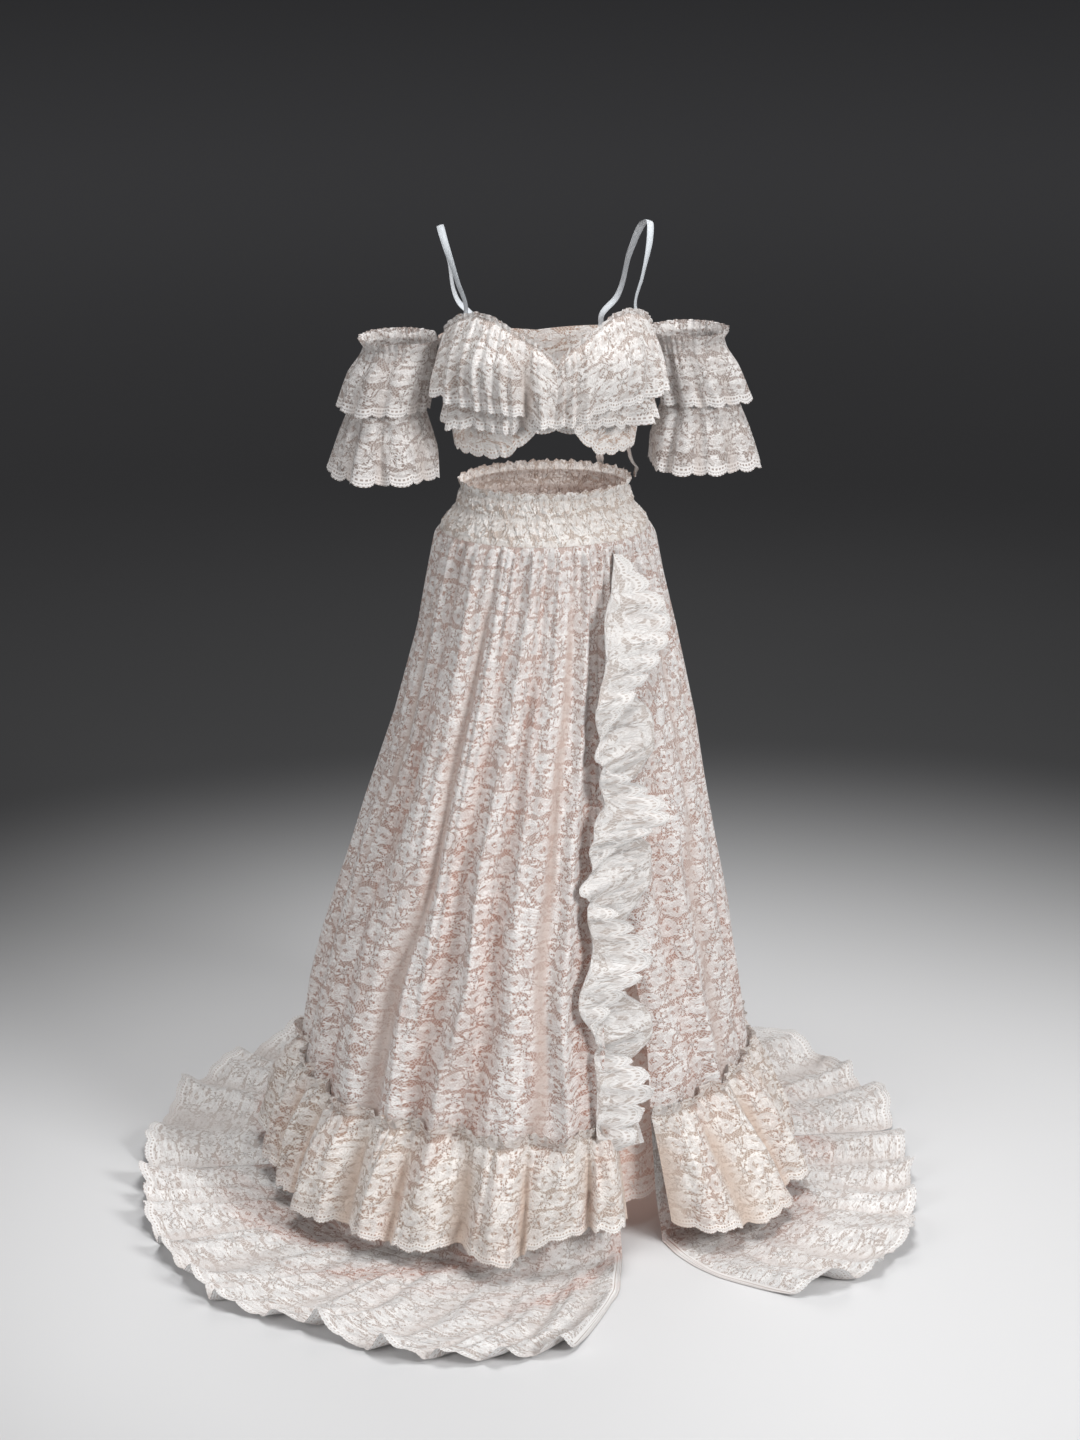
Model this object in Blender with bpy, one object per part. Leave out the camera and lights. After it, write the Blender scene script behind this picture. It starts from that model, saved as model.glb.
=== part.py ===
"""Two-piece lace wedding dress: an off-shoulder ruffled crop top and a long skirt with a side slit and a train.

Metres, +Z up. The origin is the middle of the waist, where the wearer holds the dress. The wearer faces -Y and
their right hand is at -X. Angles run round the body in degrees from the front: -90 is -X, 90 is +X.
Heights in the tables are above the floor, which lies WAIST_HEIGHT below the origin.
Every cloth piece is a grid of points, the inner face of a thin wall that is closed round its edges.
"""

from typing import NamedTuple

import bpy
import numpy as np

# Driving dimensions
WAIST_HEIGHT = 1.055
LACE = 0.0012
STRAP_THICKNESS = 0.0016
GAP = 0.0003
FRONT_MIDDLE = 0.0
BACK_MIDDLE = 180.0
SEAM_ANGLE = 90.0
SEAM_PARTING = 0.06
SMOOTH_ANGLE = 0.9
LACE_ROUGHNESS = 0.85
SATIN_ROUGHNESS = 0.45

YOKE_BOTTOM = 0.9985
RUFFLE_SEAM = 0.182
SKIRT_BOTTOM = 0.160
YOKE_COLUMNS = 18
YOKE_ROWS = (1.070, 1.058, 1.030, 1.010, YOKE_BOTTOM)
YOKE_FRILL = 0.005
UNDERSKIRT_LAP = (1.008, 1.0015)
UNDERSKIRT_FLUTE = 0.010

FOLD_COLUMNS = 6
TRAIN_COLUMNS = 4
RUFFLE_COLUMNS = 3
GOLDEN_SHARE = 0.618
LOWEST_WAVE = 0.55
FOLD_ROUNDNESS = 0.85
PUFF_ROUNDNESS = 0.55
TRAIN_ROUNDNESS = 1.0
MEAN_FOLD = 0.014

LACE_GAP_WIDTH = 0.005
LACE_GAP_HEIGHT = 0.008
LACE_GAP_SHARE = 0.3
GAP_EVERY = 6
GAP_MARGIN = 2


class Section(NamedTuple):
    """A level section of the garment: its reach to each side of the axis."""

    height: float
    left: float
    right: float
    front: float
    back: float


class Fold(NamedTuple):
    """One fold of a gathered panel: its share of the panel's width, and its depth at the hem."""

    share: float
    depth: float


class SlitRow(NamedTuple):
    """The angles of the two edges of the slit at a height."""

    height: float
    front_edge: float
    side_edge: float


class TrainRow(NamedTuple):
    """A ring of the train on the floor: how far out it lies, its slit edges, and the height of its crests."""

    share: float
    front_edge: float
    side_edge: float
    crest: float


class AngleValue(NamedTuple):
    """A size that changes round the body."""

    angle: float
    value: float


class CascadeRow(NamedTuple):
    """Where the free edge of the slit ruffle goes: to the side of its seam, and out from it."""

    height: float
    sideways: float
    out: float


class SleeveRow(NamedTuple):
    """A ring of a sleeve tier: the distance of its middle from the body's axis, its half-width, and its wave."""

    height: float
    middle: float
    radius: float
    wave: float


class StrapPoint(NamedTuple):
    """A point on the middle line of a shoulder strap, on the +X side."""

    x: float
    y: float
    height: float


class TieRow(NamedTuple):
    """A tie tail: its column on the bodice and on the yoke, how far down the yoke it ends, and its sway."""

    bodice_column: int
    yoke_column: int
    yoke_share: float
    sway: float


SKIRT_SECTIONS = (
    Section(1.070, 0.121, 0.121, 0.091, 0.086),
    Section(1.058, 0.120, 0.120, 0.090, 0.085),
    Section(1.030, 0.129, 0.129, 0.099, 0.092),
    Section(1.010, 0.145, 0.145, 0.112, 0.101),
    Section(1.000, 0.151, 0.151, 0.118, 0.106),
    Section(0.930, 0.162, 0.165, 0.134, 0.128),
    Section(0.850, 0.178, 0.184, 0.158, 0.156),
    Section(0.709, 0.212, 0.214, 0.202, 0.206),
    Section(0.574, 0.254, 0.236, 0.246, 0.252),
    Section(0.414, 0.300, 0.264, 0.294, 0.302),
    Section(0.280, 0.337, 0.284, 0.332, 0.342),
    Section(0.182, 0.357, 0.298, 0.358, 0.364),
    Section(0.070, 0.380, 0.316, 0.380, 0.388),
    Section(0.000, 0.392, 0.330, 0.392, 0.400),
)

UNDERSKIRT_SECTIONS = (
    Section(0.985, 0.146, 0.146, 0.113, 0.101),
    Section(0.709, 0.176, 0.178, 0.164, 0.160),
    Section(0.414, 0.226, 0.222, 0.228, 0.214),
    Section(0.045, 0.290, 0.270, 0.296, 0.280),
)

BODICE_SECTIONS = (
    Section(1.345, 0.148, 0.148, 0.118, 0.100),
    Section(1.300, 0.151, 0.151, 0.130, 0.102),
    Section(1.270, 0.151, 0.151, 0.135, 0.101),
    Section(1.230, 0.147, 0.147, 0.130, 0.098),
    Section(1.190, 0.140, 0.140, 0.117, 0.094),
    Section(1.150, 0.133, 0.133, 0.106, 0.090),
    Section(1.110, 0.127, 0.127, 0.098, 0.088),
)

SWELL_POWER = 1.5

# The skirt hangs fuller or flatter than its sections here, by this much at the hem
SKIRT_SWELL = (
    AngleValue(-180, 0.0),
    AngleValue(-90, 0.0),
    AngleValue(-52, 0.014),
    AngleValue(-28, -0.006),
    AngleValue(-8, 0.006),
    AngleValue(12, -0.028),
    AngleValue(27, -0.034),
    AngleValue(60, -0.006),
    AngleValue(90, 0.0),
    AngleValue(180, 0.0),
)

SLIT = (
    SlitRow(1.000, 41.8, 42.0),
    SlitRow(0.850, 33.0, 33.4),
    SlitRow(0.709, 25.0, 25.8),
    SlitRow(0.574, 19.0, 21.2),
    SlitRow(0.500, 16.6, 20.4),
    SlitRow(0.414, 14.5, 21.4),
    SlitRow(0.350, 13.4, 23.6),
    SlitRow(0.280, 12.5, 24.7),
    SlitRow(0.160, 12.0, 24.0),
    SlitRow(0.070, 11.5, 23.0),
    SlitRow(0.000, 11.0, 22.5),
)

FRONT_FOLDS = (
    Fold(0.112, 0.016),
    Fold(0.112, 0.020),
    Fold(0.187, 0.026),
    Fold(0.099, 0.020),
    Fold(0.138, 0.027),
    Fold(0.134, 0.024),
    Fold(0.124, 0.032),
    Fold(0.094, 0.020),
)

SIDE_FOLDS = (
    Fold(0.22, 0.012),
    Fold(0.27, 0.016),
    Fold(0.24, 0.013),
    Fold(0.27, 0.018),
)

BACK_FOLDS = (
    Fold(0.118, 0.020),
    Fold(0.136, 0.026),
    Fold(0.112, 0.018),
    Fold(0.134, 0.027),
    Fold(0.122, 0.022),
    Fold(0.130, 0.028),
    Fold(0.114, 0.019),
    Fold(0.134, 0.024),
)

# How much of its full depth a fold has at a height: none at the yoke, all at the hem
FOLD_HEIGHTS = (0.0, 0.160, 0.414, 0.709, 0.930, 0.985, 0.9985)
FOLD_GROWTH = (1.0, 1.0, 0.85, 0.55, 0.38, 0.30, 0.0)

SKIRT_ROWS = (0.9982, 0.985, 0.900, 0.740, 0.560, 0.370, 0.182, 0.1603)
GAP_ROWS = range(1, 6)
RUFFLE_SEAM_ROW = SKIRT_ROWS.index(RUFFLE_SEAM)

# The hem ruffle's crests reach this far from the axis at its lower edge, which lies at these heights
RUFFLE_REACH = (
    AngleValue(-180, 0.455),
    AngleValue(-120, 0.450),
    AngleValue(-90, 0.440),
    AngleValue(-57, 0.468),
    AngleValue(-40, 0.466),
    AngleValue(-26, 0.446),
    AngleValue(-14, 0.460),
    AngleValue(-4, 0.440),
    AngleValue(10, 0.425),
    AngleValue(22, 0.410),
    AngleValue(30, 0.450),
    AngleValue(40, 0.472),
    AngleValue(60, 0.430),
    AngleValue(90, 0.378),
    AngleValue(130, 0.430),
    AngleValue(180, 0.455),
)
RUFFLE_HEM = (
    AngleValue(-180, 0.028),
    AngleValue(-62, 0.030),
    AngleValue(-46, 0.040),
    AngleValue(-33, 0.026),
    AngleValue(-25, 0.044),
    AngleValue(-15, 0.026),
    AngleValue(-5, 0.062),
    AngleValue(10, 0.070),
    AngleValue(22, 0.040),
    AngleValue(40, 0.030),
    AngleValue(180, 0.028),
)
RUFFLE_HEADER_RISE = 0.018
RUFFLE_HEADER_OUT = 0.004
RUFFLE_HEADER_WAVE = 0.004
RUFFLE_SHARES = (0.25, 0.62, 1.0)
RUFFLE_VALLEY = 0.032
RUFFLE_BULGE = 0.012
RUFFLE_VALLEY_BULGE = 0.004
RUFFLE_HEM_WAVE = 0.006

TRAIN_EDGE = (
    AngleValue(-180, 0.545),
    AngleValue(-140, 0.583),
    AngleValue(-118, 0.610),
    AngleValue(-95, 0.614),
    AngleValue(-81, 0.627),
    AngleValue(-69, 0.650),
    AngleValue(-50, 0.688),
    AngleValue(-36, 0.668),
    AngleValue(-24, 0.694),
    AngleValue(-12, 0.676),
    AngleValue(-3, 0.636),
    AngleValue(4, 0.550),
    AngleValue(20, 0.470),
    AngleValue(24, 0.545),
    AngleValue(30, 0.600),
    AngleValue(42, 0.636),
    AngleValue(52, 0.624),
    AngleValue(66, 0.578),
    AngleValue(83, 0.553),
    AngleValue(101, 0.557),
    AngleValue(120, 0.553),
    AngleValue(140, 0.535),
    AngleValue(180, 0.545),
)

TRAIN_WALL_HEIGHT = 0.070
TRAIN_WALL_FOLDS = 0.6
TRAIN_VALLEY = 0.0006
TRAIN_SCALLOP = 0.010
TRAIN_ROWS = (
    TrainRow(0.00, 11.0, 22.5, 0.004),
    TrainRow(0.32, 8.0, 22.0, 0.008),
    TrainRow(0.66, 5.0, 23.5, 0.020),
    TrainRow(1.00, -3.0, 29.0, 0.034),
)

CASCADE = (
    CascadeRow(0.984, 0.006, 0.008),
    CascadeRow(0.930, 0.040, 0.022),
    CascadeRow(0.880, 0.066, 0.028),
    CascadeRow(0.810, 0.048, 0.044),
    CascadeRow(0.745, 0.004, 0.050),
    CascadeRow(0.700, -0.028, 0.044),
    CascadeRow(0.655, 0.030, 0.046),
    CascadeRow(0.610, 0.072, 0.034),
    CascadeRow(0.560, 0.044, 0.050),
    CascadeRow(0.500, -0.032, 0.052),
    CascadeRow(0.450, 0.022, 0.050),
    CascadeRow(0.405, 0.060, 0.034),
    CascadeRow(0.350, 0.034, 0.048),
    CascadeRow(0.305, -0.024, 0.044),
    CascadeRow(0.262, 0.040, 0.036),
    CascadeRow(0.215, 0.018, 0.028),
)
CASCADE_ROWS = 28
CASCADE_COLUMNS = 3
CASCADE_DROP = 0.30
SKIRT_SLOPE = 0.42

BODICE_COLUMNS = 48
BACK_COLUMNS = 24
BODICE_SHARES = (0.0, 0.3, 0.65, 1.0)
CUP_ANGLE = 36.0
CUP_SPREAD = 22.0
CUP_HEIGHT = 1.262
CUP_RISE = 0.045
CUP_DEPTH = 0.012

BODICE_TOP = (
    AngleValue(0, 1.266),
    AngleValue(10, 1.287),
    AngleValue(25, 1.307),
    AngleValue(38, 1.323),
    AngleValue(50, 1.327),
    AngleValue(62, 1.319),
    AngleValue(74, 1.298),
    AngleValue(86, 1.280),
    AngleValue(180, 1.262),
)
BODICE_HEM = 1.120
BODICE_NOTCH = 0.044
BODICE_NOTCH_SPREAD = 28.0

BUST_RUFFLE_EDGE = 4
BUST_HEADER_RISE = 0.008
BUST_HEADER_OUT = 0.0015
BUST_HEADER_WAVE = 0.003
BUST_SHARES = (0.5, 1.0)
BUST_UPPER_HEM = (
    AngleValue(0, 1.176),
    AngleValue(10, 1.180),
    AngleValue(25, 1.198),
    AngleValue(60, 1.208),
    AngleValue(86, 1.208),
)
BUST_UPPER_VALLEY = 0.016
BUST_UPPER_WAVE = 0.018
BUST_LOWER_HEM = 1.170
BUST_LOWER_VALLEY = 0.005
BUST_LOWER_WAVE = 0.014
BUST_LOWER_FIRST = 2

SLEEVE_SEAM = 1.268
SLEEVE_RADIUS = 0.0520
SLEEVE_WAVES = 10
SLEEVE_DEPTH_RATIO = 0.94
SLEEVE_UPPER = (
    SleeveRow(1.282, 0.0000, 0.0555, 0.004),
    SleeveRow(1.268, 0.0000, 0.0520, 0.000),
    SleeveRow(1.228, 0.0120, 0.0580, 0.007),
    SleeveRow(1.180, 0.0240, 0.0600, 0.011),
)
SLEEVE_LOWER = (
    SleeveRow(1.262, 0.0000, 0.0480, 0.000),
    SleeveRow(1.190, 0.0170, 0.0480, 0.006),
    SleeveRow(1.140, 0.0200, 0.0620, 0.010),
    SleeveRow(1.085, 0.0200, 0.0770, 0.014),
)

STRAP_WIDTH = 0.010
STRAP_SAMPLES = 22
STRAP_LAP = 0.012
STRAP_TOP_FACE = (0.3, 0.0, 1.0)
STRAP_FRONT_ANGLE = 59.0
STRAP_BACK_ANGLE = 131.0
STRAP_SHOULDER = (
    StrapPoint(0.1300, -0.062, 1.372),
    StrapPoint(0.1440, -0.036, 1.420),
    StrapPoint(0.1480, -0.008, 1.438),
    StrapPoint(0.1430, 0.028, 1.428),
    StrapPoint(0.1300, 0.062, 1.380),
    StrapPoint(0.1140, 0.084, 1.310),
)

TIE_LAP = 0.25
TIES = (
    TieRow(1, 1, 0.1, 0.022),
    TieRow(4, 3, 0.5, 0.0),
)

IVORY = (0.83, 0.80, 0.77)
BLUSH = (0.80, 0.66, 0.59)
SATIN = (0.80, 0.81, 0.82)


def clear_scene():
    """Removes every object of the open scene."""
    for scene_object in list(bpy.data.objects):
        bpy.data.objects.remove(scene_object, do_unlink=True)


def finish(name, colour, roughness):
    """A Principled material with one colour."""
    material = bpy.data.materials.new(name + "_finish")
    material.use_nodes = True
    shader = material.node_tree.nodes["Principled BSDF"]
    shader.inputs["Base Color"].default_value = (*colour, 1.0)
    shader.inputs["Roughness"].default_value = roughness
    shader.inputs["Metallic"].default_value = 0.0
    return material


def by_angle(table, angle):
    """The table's value at an angle, with the table read round the body."""
    table_angles = [row.angle for row in table]
    turned = (np.asarray(angle) + 180.0) % 360.0 - 180.0
    if table_angles[0] >= 0:
        turned = np.abs(turned)
    return np.interp(turned, table_angles, [row.value for row in table])


def by_height(rows, column, height):
    """One column of a table whose first column is a height, at a height."""
    ordered = sorted(rows)
    return np.interp(height, [row[0] for row in ordered], [row[column] for row in ordered])


def ring(sections, angle, height, out=0.0):
    """Points at polar angles on the sections' outline, a four-quarter ellipse, moved out along its normal."""
    angle, height = np.broadcast_arrays(np.asarray(angle, float), np.asarray(height, float))
    turn = np.radians(angle)
    sine, cosine = np.sin(turn), np.cos(turn)
    side = np.where(sine > 0, by_height(sections, 2, height), by_height(sections, 1, height))
    depth = np.where(cosine > 0, by_height(sections, 3, height), by_height(sections, 4, height))
    radius = 1.0 / np.sqrt((sine / side) ** 2 + (cosine / depth) ** 2)
    normal_x, normal_y = sine / side**2, -cosine / depth**2
    length = np.hypot(normal_x, normal_y)
    x = radius * sine + out * normal_x / length
    y = -radius * cosine + out * normal_y / length
    return np.stack([x, y, height - WAIST_HEIGHT], axis=-1)


def outward(points):
    """Level unit vectors from the axis through each point."""
    direction = points * np.array([1.0, 1.0, 0.0])
    return direction / np.linalg.norm(direction, axis=-1, keepdims=True)


def polar(angle, radius, height):
    """Points at an angle, a distance from the axis and a height above the floor."""
    turn = np.radians(angle)
    values = np.broadcast_arrays(radius * np.sin(turn), -radius * np.cos(turn), height - WAIST_HEIGHT)
    return np.stack(values, axis=-1)


def grid_normals(points, closed=False, even_seams=True):
    """Unit normals of a grid of points. With even seams, those of the side edges stay square to the seam."""
    down = np.gradient(points, axis=0)
    if closed:
        across = np.roll(points, -1, axis=1) - np.roll(points, 1, axis=1)
    else:
        across = np.gradient(points, axis=1)
    normals = np.cross(down, across)
    if even_seams and not closed:
        for column in (0, -1):
            radial = outward(points[:, column])
            along_seam = np.stack([-radial[:, 1], radial[:, 0], np.zeros(len(radial))], axis=-1)
            share = (normals[:, column] * along_seam).sum(axis=-1, keepdims=True)
            normals[:, column] -= share * along_seam
    return normals / np.linalg.norm(normals, axis=-1, keepdims=True)


def moved_out(points, distance, closed=False, even_seams=True):
    """A grid moved out along its normals."""
    return points + grid_normals(points, closed, even_seams) * distance


def split(corners):
    """Two triangles for a four-cornered face. Both faces of a wall are split alike, so it keeps its thickness."""
    return [[corners[0], corners[1], corners[2]], [corners[0], corners[2], corners[3]]]


def add_wall(name, points, colour, wall=LACE, closed=False, even_seams=True, gaps=(), roughness=LACE_ROUGHNESS):
    """Makes the object NAME from a grid of points, rows from top to bottom and columns rising in angle.

    The grid is the wall's inner face, and the outer face is the grid moved out.
    The cells named in gaps, as (row, column), each get one small opening cut through the cloth.
    """
    row_count, column_count = points.shape[:2]
    inner = [tuple(p) for p in points.reshape(-1, 3)]
    outer = [tuple(p) for p in moved_out(points, wall, closed, even_seams).reshape(-1, 3)]
    faces = []
    last = column_count if closed else column_count - 1
    for row in range(row_count - 1):
        for column in range(last):
            following = (column + 1) % column_count
            corners = [
                row * column_count + column,
                (row + 1) * column_count + column,
                (row + 1) * column_count + following,
                row * column_count + following,
            ]
            if (row, column) in gaps:
                first = len(inner)
                inner.extend(gap_corners(inner, corners))
                outer.extend(gap_corners(outer, corners))
                for k in range(4):
                    after = (k + 1) % 4
                    faces += split([corners[k], corners[after], first + after, first + k])
            else:
                faces += split(corners)
    count = len(inner)
    sheet_edges = {(face[k - 1], face[k]) for face in faces for k in range(len(face))}
    rim = [(a, b) for a, b in sheet_edges if (b, a) not in sheet_edges]
    all_faces = [[i + count for i in face] for face in faces]
    all_faces += [face[::-1] for face in faces]
    for a, b in sorted(rim):
        all_faces += split([b + count, a + count, a, b])
    mesh = bpy.data.meshes.new(name)
    mesh.from_pydata(inner + outer, [], all_faces)
    mesh.materials.append(finish(name, colour, roughness))
    mesh.shade_smooth()
    mesh.set_sharp_from_angle(angle=SMOOTH_ANGLE)
    wall_object = bpy.data.objects.new(name, mesh)
    bpy.context.scene.collection.objects.link(wall_object)
    return wall_object


def gap_corners(vertices, corners):
    """The four corners of a gap in the middle of a cell."""
    top_left, low_left, low_right, top_right = (np.array(vertices[i]) for i in corners)
    across = (low_right + top_right - low_left - top_left) / 2
    down = (low_left + low_right - top_left - top_right) / 2
    middle = (top_left + low_left + low_right + top_right) / 4
    half_across = min(0.5 * LACE_GAP_WIDTH / np.linalg.norm(across), LACE_GAP_SHARE) * across
    half_down = min(0.5 * LACE_GAP_HEIGHT / np.linalg.norm(down), LACE_GAP_SHARE) * down
    inner = (
        middle - half_across - half_down,
        middle - half_across + half_down,
        middle + half_across + half_down,
        middle + half_across - half_down,
    )
    return [tuple(p) for p in inner]


def gap_cells(rows, columns, every):
    """Cells that get a gap: one cell in EVERY along a row, shifted from row to row as the lace repeats."""
    return {(row, column) for row in rows for column in columns if (column + 2 * row) % every == 0}


def uneven(number, least):
    """A steady spread of values from LEAST to 1 for numbered waves, so that no two neighbours are alike."""
    return least + (1.0 - least) * np.modf(np.asarray(number) * GOLDEN_SHARE)[0]


def rounded(phase, roundness):
    """A row of rounded folds, one a turn: 0 in a valley and 1 on a crest, broader as ROUNDNESS falls."""
    return np.maximum(0.5 - 0.5 * np.cos(2 * np.pi * phase), 0.0) ** roundness


def ruffle_wave(column_count):
    """A gathered edge at each column: 0 in a valley, and the height of its own wave on a crest."""
    column = np.arange(column_count)
    crest = uneven(column // RUFFLE_COLUMNS + 1, LOWEST_WAVE)
    return np.where(column % RUFFLE_COLUMNS == 0, 0.0, crest)


def rolled_wave(column_count, pitch, roundness):
    """A row of rounded waves, one each PITCH columns: 0 in a valley, and the height of its own wave on a crest."""
    phase = np.arange(column_count) / pitch
    return rounded(phase, roundness) * uneven(np.floor(phase) + 1, LOWEST_WAVE)


class Panel:
    """A third of the skirt between two edges, with its folds and the columns that they give its grids."""

    def __init__(self, name, folds, left_edge, right_edge):
        self.name = name
        self.left_edge = left_edge
        self.right_edge = right_edge
        shares = np.array([fold.share for fold in folds])
        ends = np.concatenate([[0.0], np.cumsum(shares) / shares.sum()])
        phase = np.arange(len(folds) * FOLD_COLUMNS + 1) / FOLD_COLUMNS
        self.share = np.interp(phase, np.arange(len(folds) + 1), ends)
        depths = np.array([fold.depth for fold in folds])
        which = np.minimum(phase.astype(int), len(folds) - 1)
        self.fold_offset = depths[which] * rounded(phase, FOLD_ROUNDNESS) - 0.5 * MEAN_FOLD

    def angles(self, height):
        """The angles of the columns at each height, as rows."""
        height = np.atleast_1d(height)[:, None]
        left = self.edge(self.left_edge, height)
        right = self.edge(self.right_edge, height)
        return left + (right - left) * self.share

    @staticmethod
    def edge(edge, height):
        """An edge's angle at a height: a fixed seam, or a column of the slit's table."""
        return by_height(SLIT, edge, height) if isinstance(edge, int) else np.full_like(height, edge)

    def cloth(self, heights, out=0.0, folding=1.0):
        """The panel's inner face at some heights, moved out."""
        heights = np.atleast_1d(np.asarray(heights, float))
        angle = self.angles(heights)
        height = heights[:, None]
        growth = np.interp(height, FOLD_HEIGHTS, FOLD_GROWTH) * folding
        towards_hem = np.clip((YOKE_BOTTOM - height) / (YOKE_BOTTOM - RUFFLE_SEAM), 0, 1)
        swell = by_angle(SKIRT_SWELL, angle) * towards_hem**SWELL_POWER
        return ring(SKIRT_SECTIONS, angle, height, out + swell + growth * self.fold_offset)


SLIT_FRONT = SlitRow._fields.index("front_edge")
SLIT_SIDE = SlitRow._fields.index("side_edge")


def skirt_panels():
    """The three panels of the skirt, from the slit round by the left side seam."""
    return (
        Panel("front", FRONT_FOLDS, -SEAM_ANGLE + SEAM_PARTING, SLIT_FRONT),
        Panel("side", SIDE_FOLDS, SLIT_SIDE, SEAM_ANGLE - SEAM_PARTING),
        Panel("back", BACK_FOLDS, SEAM_ANGLE + SEAM_PARTING, 360.0 - SEAM_ANGLE - SEAM_PARTING),
    )


def make_skirt(panel):
    """A skirt panel, gathered into the yoke and cut through where the lace has its largest gaps."""
    points = panel.cloth(SKIRT_ROWS)
    cells = gap_cells(GAP_ROWS, range(GAP_MARGIN, len(panel.share) - 1 - GAP_MARGIN), GAP_EVERY)
    add_wall("skirt_" + panel.name, points, IVORY, gaps=cells)


def make_hem_ruffle(panel):
    """The gathered ruffle sewn over a panel's lower end, with a small frilled heading above its seam."""
    wave = rolled_wave(len(panel.share), FOLD_COLUMNS, PUFF_ROUNDNESS)
    skirt = panel.cloth(SKIRT_ROWS)
    seam = moved_out(skirt, LACE + GAP)[RUFFLE_SEAM_ROW]
    heading_out = RUFFLE_HEADER_OUT + RUFFLE_HEADER_WAVE * wave
    heading = seam + outward(seam) * heading_out[:, None]
    heading[:, 2] += RUFFLE_HEADER_RISE
    angle = panel.angles(0.0)[0]
    reach = by_angle(RUFFLE_REACH, angle) - RUFFLE_VALLEY * (1 - wave)
    hem = polar(angle, reach, by_angle(RUFFLE_HEM, angle) + RUFFLE_HEM_WAVE * wave)
    rows = [heading, seam]
    for share in RUFFLE_SHARES:
        bulge = (RUFFLE_VALLEY_BULGE + (RUFFLE_BULGE - RUFFLE_VALLEY_BULGE) * wave) * np.sin(np.pi * share)
        rows.append(seam + (hem - seam) * share + outward(seam) * bulge[:, None])
    add_wall("hem_ruffle_" + panel.name, np.array(rows), IVORY)


def make_train(panel):
    """The part of a panel below the ruffle's seam: it falls to the floor and spreads over it in radial folds."""
    wave = rolled_wave(len(panel.share), TRAIN_COLUMNS, TRAIN_ROUNDNESS)
    top = panel.cloth(SKIRT_BOTTOM)[0]
    wall = panel.cloth(TRAIN_WALL_HEIGHT, folding=TRAIN_WALL_FOLDS)[0]
    rows = [top, wall]
    for row in TRAIN_ROWS:
        edges = {SLIT_FRONT: row.front_edge, SLIT_SIDE: row.side_edge}
        left = edges.get(panel.left_edge, panel.left_edge)
        right = edges.get(panel.right_edge, panel.right_edge)
        angle = left + (right - left) * panel.share
        foot = ring(SKIRT_SECTIONS, angle, 0.0, by_angle(SKIRT_SWELL, angle))
        foot_radius = np.hypot(foot[:, 0], foot[:, 1])
        edge_radius = by_angle(TRAIN_EDGE, angle) - TRAIN_SCALLOP * (1 - wave) * row.share
        radius = foot_radius + (edge_radius - foot_radius) * row.share
        rows.append(polar(angle, radius, TRAIN_VALLEY + row.crest * wave))
    add_wall("train_" + panel.name, np.array(rows), IVORY)


def yoke_cloth(middle_angle):
    """The inner face of half of the elastic lace yoke, with its small frill above the waist."""
    half = SEAM_ANGLE - SEAM_PARTING
    angle = middle_angle + np.linspace(-half, half, YOKE_COLUMNS + 1)
    out = np.zeros((len(YOKE_ROWS), YOKE_COLUMNS + 1))
    out[0] = YOKE_FRILL * (np.arange(YOKE_COLUMNS + 1) % 2)
    return ring(SKIRT_SECTIONS, angle, np.array(YOKE_ROWS)[:, None], out)


def make_yoke():
    """The two halves of the yoke."""
    add_wall("yoke_front", yoke_cloth(FRONT_MIDDLE), IVORY)
    add_wall("yoke_back", yoke_cloth(BACK_MIDDLE), IVORY)


def make_underskirt():
    """The blush underskirt, a slim tube that hangs from inside the yoke to the ankle."""
    column = np.arange(2 * YOKE_COLUMNS)
    angle = column * SEAM_ANGLE * 2 / YOKE_COLUMNS
    rows = [ring(SKIRT_SECTIONS, angle, height, -(LACE + 2 * GAP)) for height in UNDERSKIRT_LAP]
    flute = column % 2
    for section in UNDERSKIRT_SECTIONS:
        depth = UNDERSKIRT_FLUTE * (1.0 - section.height)
        rows.append(ring(UNDERSKIRT_SECTIONS, angle, section.height, -depth * flute))
    add_wall("underskirt", np.array(rows), BLUSH, closed=True)


def make_cascade(front_panel):
    """The slit ruffle: sewn along the front panel's slit edge, it swings to and fro as it falls."""
    edge = moved_out(front_panel.cloth(SKIRT_ROWS), LACE + GAP)[::-1, -1]
    heights = np.linspace(CASCADE[0].height, CASCADE[-1].height, CASCADE_ROWS)
    levels = heights - WAIST_HEIGHT
    seam = np.stack([np.interp(levels, edge[:, 2], edge[:, axis]) for axis in range(3)], axis=-1)
    out_direction = outward(seam)
    seam += out_direction * 0.5 * LACE
    side_direction = np.stack([-out_direction[:, 1], out_direction[:, 0], np.zeros(CASCADE_ROWS)], axis=-1)
    sideways = by_height(CASCADE, 1, heights)
    out = by_height(CASCADE, 2, heights)
    drop = CASCADE_DROP * np.hypot(sideways, out)
    columns = []
    for share in np.linspace(0.0, 1.0, CASCADE_COLUMNS + 1):
        lift = out * np.sin(0.5 * np.pi * share) + SKIRT_SLOPE * drop * share
        moved = seam + side_direction * (sideways * share)[:, None] + out_direction * lift[:, None]
        moved[:, 2] -= drop * share
        columns.append(moved)
    middle = np.stack(columns, axis=1)
    add_wall("slit_ruffle", moved_out(middle, -0.5 * LACE, even_seams=False), IVORY, even_seams=False)


def bodice_out(angle, height):
    """How far the cups stand out from the bodice's sections."""
    near_cup = np.exp(-(((np.abs(angle) - CUP_ANGLE) / CUP_SPREAD) ** 2))
    return CUP_DEPTH * near_cup * np.exp(-(((height - CUP_HEIGHT) / CUP_RISE) ** 2))


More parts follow.
